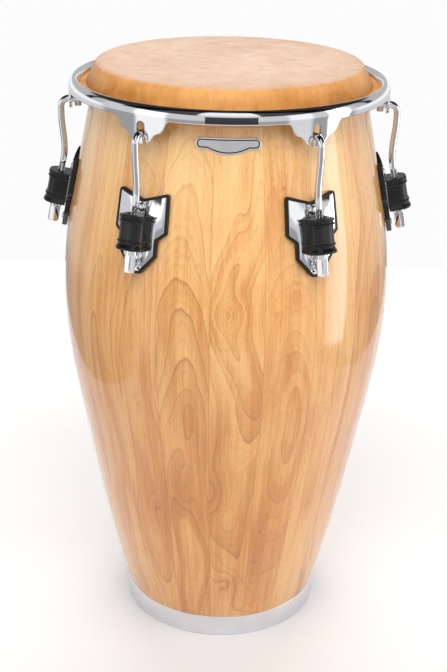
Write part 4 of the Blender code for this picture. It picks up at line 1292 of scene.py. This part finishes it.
def rim_section(lower_edge):
    """Section of the rim with softly broken edges, from its lower edge up, over and back."""
    soft = RIM_WALL * 0.3
    start = lower_edge + soft
    rows = [start + (RIM_SHOULDER - start) * i / EAR_ROWS for i in range(EAR_ROWS)]
    section = arc((RIM_RADIUS - soft, start), soft, -90, 0, 3)[:-1]
    section += [(RIM_RADIUS, height) for height in rows]
    section += [curl_point(0.0, i / CURL_ROWS) for i in range(CURL_ROWS + 1)]
    outer_lip, inner_lip = Vector(curl_point(0.0, 1.0)), Vector(curl_point(RIM_WALL, 1.0))
    middle = (outer_lip + inner_lip) / 2
    spoke = outer_lip - middle
    section += [tuple(middle + Matrix.Rotation(math.radians(-a), 2) @ spoke) for a in (-45, -90, -135)]
    section += [curl_point(RIM_WALL, 1 - i / CURL_ROWS) for i in range(CURL_ROWS + 1)]
    inner = RIM_RADIUS - RIM_WALL
    section += [(inner, height) for height in reversed(rows)]
    section += arc((inner + soft, start), soft, 180, 270, 3)[1:]
    return section


def slot_outline():
    """Upright slot with round ends, as (across, up) points."""
    low = RIM_EDGE - EAR_DEPTH + EAR_LAND + SLOT_HALF_WIDTH
    high = RIM_EDGE - EAR_DEPTH + EAR_LAND + SLOT_HEIGHT - SLOT_HALF_WIDTH
    return arc((0, high), SLOT_HALF_WIDTH, 0, 180, 12) + arc((0, low), SLOT_HALF_WIDTH, 180, 360, 12)


def panel_cutter():
    """Block that sinks the front panel, parallel to the rim's own outer face."""
    rings = []
    for i in range(PANEL_COLUMNS + 1):
        angle = (PANEL_LEFT + (PANEL_RIGHT - PANEL_LEFT) * i / PANEL_COLUMNS) / RIM_RADIUS - math.pi / 2
        section = []
        for k in range(PANEL_ROWS + 1):
            height = PANEL_LOW + (PANEL_HIGH - PANEL_LOW) * k / PANEL_ROWS
            rise = max(0.0, (height - RIM_SHOULDER) / RIM_CURVE_HEIGHT)
            drawn_in = CURL_RADIUS * (1 - math.sqrt(1 - rise * rise))
            section.append((RIM_RADIUS - drawn_in - PANEL_SUNK, height))
        section += [(RIM_RADIUS + RIM_WALL, PANEL_HIGH), (RIM_RADIUS + RIM_WALL, PANEL_LOW)]
        rings.append([Vector((r * math.cos(angle), r * math.sin(angle), height)) for r, height in section])
    return skin_over("panel", rings)


def panel_finish():
    """Bare floor of the sunk panel: dark metal, brushed along the rim."""
    metal = Finish("dark_panel")
    x, y, height = metal.parts(metal.place())
    lines = metal.noise((x * 40, 0.0, height * 3500), detail=3.0, roughness=0.7)
    metal.set(base_color=metal.blend(lines, PANEL_DARK, PANEL_LIGHT), metallic=1.0)
    metal.set(roughness=lines * 0.2 + 0.28, normal=metal.bump(lines, 0.00002, 0.5))
    return metal.material


def rim_mesh():
    """Rim skinned over a section at every step round it, then slotted and panelled."""
    rings = []
    for column in range(RIM_COLUMNS):
        angle = 2 * math.pi * column / RIM_COLUMNS
        nearest = round(angle / math.radians(LUG_ANGLE)) * math.radians(LUG_ANGLE)
        section = rim_section(RIM_EDGE - ear_drop((angle - nearest) * RIM_RADIUS))
        turn = Matrix.Rotation(angle, 4, "Z")
        rings.append([turn @ Vector((radius, 0, height)) for radius, height in section])
    rim = skin_over("rim", rings, closed=True)
    for turn in lug_turns:
        slot = skin_over("slot", [[Vector((x, across, up)) for across, up in slot_outline()]
                                  for x in (RIM_RADIUS - 3 * RIM_WALL, RIM_RADIUS + RIM_WALL)])
        slot.transform(turn)
        rim = combined(rim, slot, "DIFFERENCE")
    return finish_mesh(combined(rim, panel_cutter(), "DIFFERENCE"))


rim_data = rim_mesh()
rim_data.name = "counterhoop"
rim_data.materials.clear()
rim_data.materials.append(chrome_finish)
rim_data.materials.append(panel_finish())
for face in rim_data.polygons:
    middle = face.center
    across = (math.atan2(middle.y, middle.x) + math.pi / 2) * RIM_RADIUS
    facing = face.normal.dot(Vector((middle.x, middle.y, 0)).normalized())
    in_panel = PANEL_LEFT < across < PANEL_RIGHT and PANEL_LOW < middle.z < PANEL_HIGH
    face.material_index = int(in_panel and facing > 0.5)
counterhoop = in_scene("counterhoop", rim_data)
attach(counterhoop, "rim_body")
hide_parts("rim")


# Tension hooks. Bent chromed rods: each comes up through its block with a rolled thread,
# sweeps out and hooks over the lower end of its ear's slot, with a short tail inside.
ROD_ABOVE_BLOCK = 0.0193
THREAD_ABOVE_BLOCK = 0.0120
THREAD_PITCH = 0.00125
THREAD_DEPTH = 0.00045
THREAD_STEP = 0.0002
OUTER_BEND_RADIUS = 0.0095
TAIL_BEND_RADIUS = 0.0052
TAIL_LENGTH = 0.003
LEG_LENGTH = 0.008
ROD_RESERVE = 0.0015
ROD_STRAIGHT = 0.002
SWEEP_STEPS = 40
ROD_SIDES = 24
ROD_END_TAPER = (0.55, 0.85, 1.0)
NUT_LENGTH = 0.0272
TIGHTEN = 0.006
SLACKEN = 0.004
ROD_GAP = 0.0003


def hook_line():
    """Middle of lug 1's hook as (radius, height) points, and how much of it is threaded."""
    tilt = math.atan2(-first_joint["axis"][0], first_joint["axis"][2])
    bar = RIM_EDGE - EAR_DEPTH + EAR_LAND + ROD_GAP + ROD_RADIUS
    tail_centre = (RIM_RADIUS - RIM_WALL - TIGHTEN * math.tan(tilt) - ROD_GAP, bar - TAIL_BEND_RADIUS)
    outer_centre = (RIM_RADIUS + SLACKEN * math.tan(tilt) + ROD_GAP, bar - OUTER_BEND_RADIUS)
    rod_end = BLOCK_BOTTOM - ROD_GAP - NUT_LENGTH + TIGHTEN / math.cos(tilt) + ROD_RESERVE
    heights = (rod_end, BLOCK_TOP + THREAD_ABOVE_BLOCK, BLOCK_TOP + ROD_ABOVE_BLOCK)
    low, thread_top, top = [(first_frame @ Vector((ROD_STANDOFF, 0, height))).xz for height in heights]
    up_rod = (top - low).normalized()
    threaded = (thread_top - low).length
    points = [low + up_rod * THREAD_STEP * i for i in range(int(threaded / THREAD_STEP) + 1)]
    points.append(top - up_rod * ROD_STRAIGHT)
    leg_top = Vector((outer_centre[0] + OUTER_BEND_RADIUS, outer_centre[1]))
    leg_bottom = leg_top - Vector((0, LEG_LENGTH))
    reach = (leg_bottom - top).length
    points += [eased(i / SWEEP_STEPS, top, up_rod * reach, leg_bottom, Vector((0, reach)))
               for i in range(SWEEP_STEPS + 1)]
    points += [Vector(point) for point in arc(outer_centre, OUTER_BEND_RADIUS, 0, 90, 16)]
    points += [Vector(point) for point in arc(tail_centre, TAIL_BEND_RADIUS, 90, 180, 12)]
    end = points[-1]
    points += [end - Vector((0, TAIL_LENGTH * i / 3)) for i in range(1, 4)]
    return points, threaded


def rod_tree():
    """Sweeps a round rod along a line and cuts a thread into the start of it."""
    tree = Shaper("threaded rod", {
        "Radius": "NodeSocketFloat", "Sides": "NodeSocketInt", "Thread Length": "NodeSocketFloat",
        "Pitch": "NodeSocketFloat", "Thread Depth": "NodeSocketFloat", "Turn": "NodeSocketVector"})

    def kept(geometry, value):
        store = tree.tree.nodes.new("GeometryNodeCaptureAttribute")
        store.capture_items.new("FLOAT", "kept")
        tree.feed(store.inputs[0], geometry)
        tree.feed(store.inputs[1], value)
        return store.outputs[0], Field(tree, store.outputs[1])

    along = tree.node("GeometryNodeSplineParameter").outputs
    path, length = kept(tree.given["Geometry"], along["Length"])
    sizes = {"Resolution": tree.given["Sides"], "Radius": tree.given["Radius"]}
    ring = tree.node("GeometryNodeCurvePrimitiveCircle", sizes)
    section, share = kept(ring.outputs[0], tree.node("GeometryNodeSplineParameter").outputs["Factor"])
    inputs = {"Curve": path, "Profile Curve": section, "Fill Caps": True}
    swept = tree.node("GeometryNodeCurveToMesh", inputs)
    phase = (length / tree.field("Pitch") + share).rest()
    groove = tree.math("PINGPONG", phase, 0.5) * 2.0
    threaded = tree.math("LESS_THAN", length, tree.field("Thread Length"))
    depth = groove * threaded * (tree.field("Thread Depth") * -1.0)
    normal = tree.node("GeometryNodeInputNormal").outputs[0]
    shift = tree.node("ShaderNodeVectorMath", {0: normal, "Scale": depth}, operation="SCALE")
    inputs = {"Geometry": swept.outputs[0], "Offset": shift.outputs[0]}
    cut = tree.node("GeometryNodeSetPosition", inputs)
    spin = tree.node("FunctionNodeEulerToRotation", {0: tree.given["Turn"]})
    placed = tree.node("GeometryNodeTransform", {"Geometry": cut.outputs[0], "Rotation": spin.outputs[0]})
    tree.end(placed.outputs[0])
    return tree


ROD = rod_tree()
hook_points, hook_threaded = hook_line()


def hook_piece(lug):
    """Hook of one lug."""
    source = line_object(f"hook_path_{lug}", hook_points)
    spline = source.data.splines[0]
    for i, share in enumerate(ROD_END_TAPER):
        spline.points[i].radius = share
        spline.points[-1 - i].radius = share
    values = {"Radius": ROD_RADIUS, "Sides": ROD_SIDES, "Thread Length": hook_threaded,
              "Pitch": THREAD_PITCH, "Thread Depth": THREAD_DEPTH,
              "Turn": (0.0, 0.0, math.radians(LUG_ANGLE * (lug - 1))), "Finish": chrome_finish}
    name = f"tension_hook_{lug}"
    return in_scene(name, finish_mesh(ROD.shape(source, name, values)))


for lug in LUGS:
    hook = hook_piece(lug)
    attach(hook, f"hook_body_{lug}")
    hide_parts(f"hook_{lug}")


# Tuning nuts. Long chromed hexagon nuts turned with a round collar, which bears on the
# underside of the block; they are chamfered at the end and tapped right through.
NUT_TOP = BLOCK_BOTTOM - ROD_GAP
NUT_ACROSS_FLATS = 0.0126
NUT_COLLAR_RADIUS = 0.0076
NUT_COLLAR_HEIGHT = 0.0078
NUT_SIDES = 72
NUT_CHAMFER = 0.0009
NUT_CORNER = 0.97
COLLAR_BREAK = 0.0005
COLLAR_FOOT_BREAK = 0.0006
BORE_BREAK = 0.0004


def nut_radius(angle, cone):
    """Radius of the hexagon at an angle, inside its chamfer's cone."""
    off = (angle + math.pi / 6) % (math.pi / 3) - math.pi / 6
    flat = NUT_ACROSS_FLATS / 2 / math.cos(off)
    corner = NUT_ACROSS_FLATS / 2 / math.cos(math.pi / 6) * NUT_CORNER
    return min(flat, corner, cone)


def nut_mesh():
    """Nut of lug 1, from its collar down and back up its bore."""
    bottom = NUT_TOP - NUT_LENGTH
    collar = NUT_TOP - NUT_COLLAR_HEIGHT
    bore = ROD_RADIUS + ROD_GAP
    flat = NUT_ACROSS_FLATS / 2
    angles = [2 * math.pi * (i + 0.5) / NUT_SIDES for i in range(NUT_SIDES)]
    round_levels = [
        (NUT_COLLAR_RADIUS - COLLAR_BREAK, NUT_TOP), (NUT_COLLAR_RADIUS, NUT_TOP - COLLAR_BREAK),
        (NUT_COLLAR_RADIUS, collar + COLLAR_FOOT_BREAK), (NUT_COLLAR_RADIUS - COLLAR_FOOT_BREAK, collar)]
    levels = [([radius] * NUT_SIDES, height) for radius, height in round_levels]
    hexagon = [nut_radius(a, 1.0) for a in angles]
    levels += [(hexagon, collar - 0.0001), (hexagon, bottom + 2 * NUT_CHAMFER)]
    for step in range(1, 5):
        cone = flat * 1.12 - flat * 0.22 * step / 4
        levels.append(([nut_radius(a, cone) for a in angles], bottom + 2 * NUT_CHAMFER * (1 - step / 4)))
    for radius, height in ((bore + BORE_BREAK, bottom), (bore, bottom + BORE_BREAK), (bore, NUT_TOP)):
        levels.append(([radius] * NUT_SIDES, height))
    rings = []
    for radii, height in levels:
        ring = [(radius * math.cos(a), radius * math.sin(a)) for radius, a in zip(radii, angles)]
        rings.append(at_height(ring, height))
    mesh = skin_over("tuning_nut", rings, closed=True)
    mesh.transform(first_frame @ Matrix.Translation((ROD_STANDOFF, 0, 0)))
    return mesh


lug_pieces("nut", nut_mesh(), chrome_finish, "tuning_nut", "nut_body")


# Floor, light and camera. A white table top in a grey studio with bright panels at its sides,
# dark flags above them, and a ceiling that is white in front of the drum and dark behind it.
# Two soft lights hang overhead, and for the eye the backdrop is white.
FLOOR_LEFT, FLOOR_RIGHT = -0.66, 0.78
FLOOR_FRONT, FLOOR_BACK = -1.1, 1.3
FLOOR_DEPTH = 0.0002
FLOOR_WHITE = (250, 250, 250)
FLOOR_DULL = (244, 244, 245)
CAMERA_PLACE = (0.0, -1.5585, 1.0110)
CAMERA_PITCH = math.radians(22.576)
CAMERA_YAW = math.radians(-0.054)
CAMERA_ROLL = math.radians(1.092)
CAMERA_LENS = 71.775
BACKDROP = 0.975
FAR_FLOOR = 0.50
WALL = 0.92
CEILING_FRONT = 1.4
CEILING_BACK = 0.05
LEFT_PANEL = 0.9
RIGHT_PANEL = 2.6
BACK_WALL = 0.45
BACK_SHADE = 0.22
FLAG = 0.93


def band(value, low, high, width):
    """1 between two edges and 0 outside them, with soft steps of a given width."""
    return value.above(low, width) * (1.0 - value.above(high, width))


def studio():
    """Light of the room by direction: bearing from the front, to the right, and height, in degrees."""
    world = bpy.data.worlds.new("studio")
    world.use_nodes = True
    sky = Nodes(world.node_tree)
    x, y, z = sky.parts(sky.node("ShaderNodeTexCoord").outputs["Generated"])
    bearing = sky.math("ARCTAN2", x, -y) * math.degrees(1)
    height = sky.math("ARCSINE", z) * math.degrees(1)
    beside = band(height, -34.0, 40.0, 6.0)
    level = height.above(-6.0, 5.0) * (WALL - FAR_FLOOR) + FAR_FLOOR
    level = level + band(bearing, -68.0, -44.0, 4.0) * beside * LEFT_PANEL
    level = level + band(bearing, 42.0, 60.0, 4.0) * beside * LEFT_PANEL * 0.6
    strip = band(bearing, 73.0, 92.0, 2.0) + band(bearing, 79.0, 92.0, 4.0) * 0.8
    level = level + strip * band(height, -25.0, 24.0, 3.0) * RIGHT_PANEL
    behind = bearing.size().above(98.0, 8.0)
    level = level + behind * band(height, -16.0, 4.0, 4.0) * BACK_WALL
    level = level - behind * height.above(6.0, 4.0) * BACK_SHADE
    ahead = (-y).above(0.42, 0.16) * (CEILING_FRONT - CEILING_BACK) + CEILING_BACK
    ceiling = height.above(30.0, 5.0)
    level = level * (1.0 - ceiling) + ahead * ceiling
    flags = band(bearing.size(), 23.0, 84.0, 3.0) * height.above(24.0, 5.0)
    flags = flags + band(bearing.size(), 112.0, 120.0, 4.0) * band(height, 6.0, 60.0, 4.0)
    room = sky.node("ShaderNodeBackground", {"Strength": level * (1.0 - flags * FLAG)})
    backdrop = sky.tree.nodes["Background"]
    sky.feed(backdrop.inputs["Color"], (BACKDROP, BACKDROP, BACKDROP, 1))
    sky.feed(backdrop.inputs["Strength"], 1.0)
    eye = sky.node("ShaderNodeLightPath").outputs["Is Camera Ray"]
    choice = sky.node("ShaderNodeMixShader", {0: eye, 1: room.outputs[0], 2: backdrop.outputs[0]})
    sky.feed(sky.tree.nodes["World Output"].inputs[0], choice.outputs[0])
    bpy.context.scene.world = world


def floor_finish():
    """Plain white laminate with a barely visible unevenness."""
    plain = Finish("white_table")
    cloud = plain.noise(plain.place(), scale=3.0)
    plain.set(base_color=plain.blend(cloud, FLOOR_WHITE, FLOOR_DULL), roughness=0.6)
    return plain.material


def soft_panel(name, place, target, size, power):
    """Rectangular soft light, (width, height) in size, that faces a target."""
    light = bpy.data.lights.new(name, "AREA")
    light.shape = "RECTANGLE"
    light.size, light.size_y = size
    light.energy = power
    item = in_scene(name, light)
    towards = Vector(target) - Vector(place)
    item.matrix_world = Matrix.Translation(place) @ towards.to_track_quat("-Z", "Y").to_matrix().to_4x4()
    item.visible_camera = False
    item.visible_glossy = False


corners = [(FLOOR_LEFT, FLOOR_FRONT), (FLOOR_RIGHT, FLOOR_FRONT)]
corners += [(FLOOR_RIGHT, FLOOR_BACK), (FLOOR_LEFT, FLOOR_BACK)]
floor_mesh = bpy.data.meshes.new("floor")
floor_mesh.from_pydata(at_height(corners, -FLOOR_DEPTH), [], [(0, 1, 2, 3)])
floor_mesh.materials.append(floor_finish())
floor = in_scene("floor", floor_mesh)

studio()
soft_panel("overhead", place=(0.0, -0.85, 1.75), target=(0, 0, 0.45), size=(1.8, 1.2), power=26)
soft_panel("table_light", place=(0.0, 1.3, 1.9), target=(0, 0.8, 0), size=(2.0, 1.4), power=34)

lens = bpy.data.cameras.new("camera")
lens.lens = CAMERA_LENS
camera = in_scene("camera", lens)
flat = math.cos(CAMERA_PITCH)
forward = Vector((math.sin(CAMERA_YAW) * flat, math.cos(CAMERA_YAW) * flat, -math.sin(CAMERA_PITCH)))
level_side = forward.cross(Vector((0, 0, 1))).normalized()
upright = level_side.cross(forward)
side = level_side * math.cos(CAMERA_ROLL) + upright * math.sin(CAMERA_ROLL)
top = upright * math.cos(CAMERA_ROLL) - level_side * math.sin(CAMERA_ROLL)
axes = Matrix((side, top, -forward)).transposed().to_4x4()
camera.matrix_world = Matrix.Translation(CAMERA_PLACE) @ axes
bpy.context.scene.camera = camera
bpy.context.scene.view_settings.view_transform = "Standard"
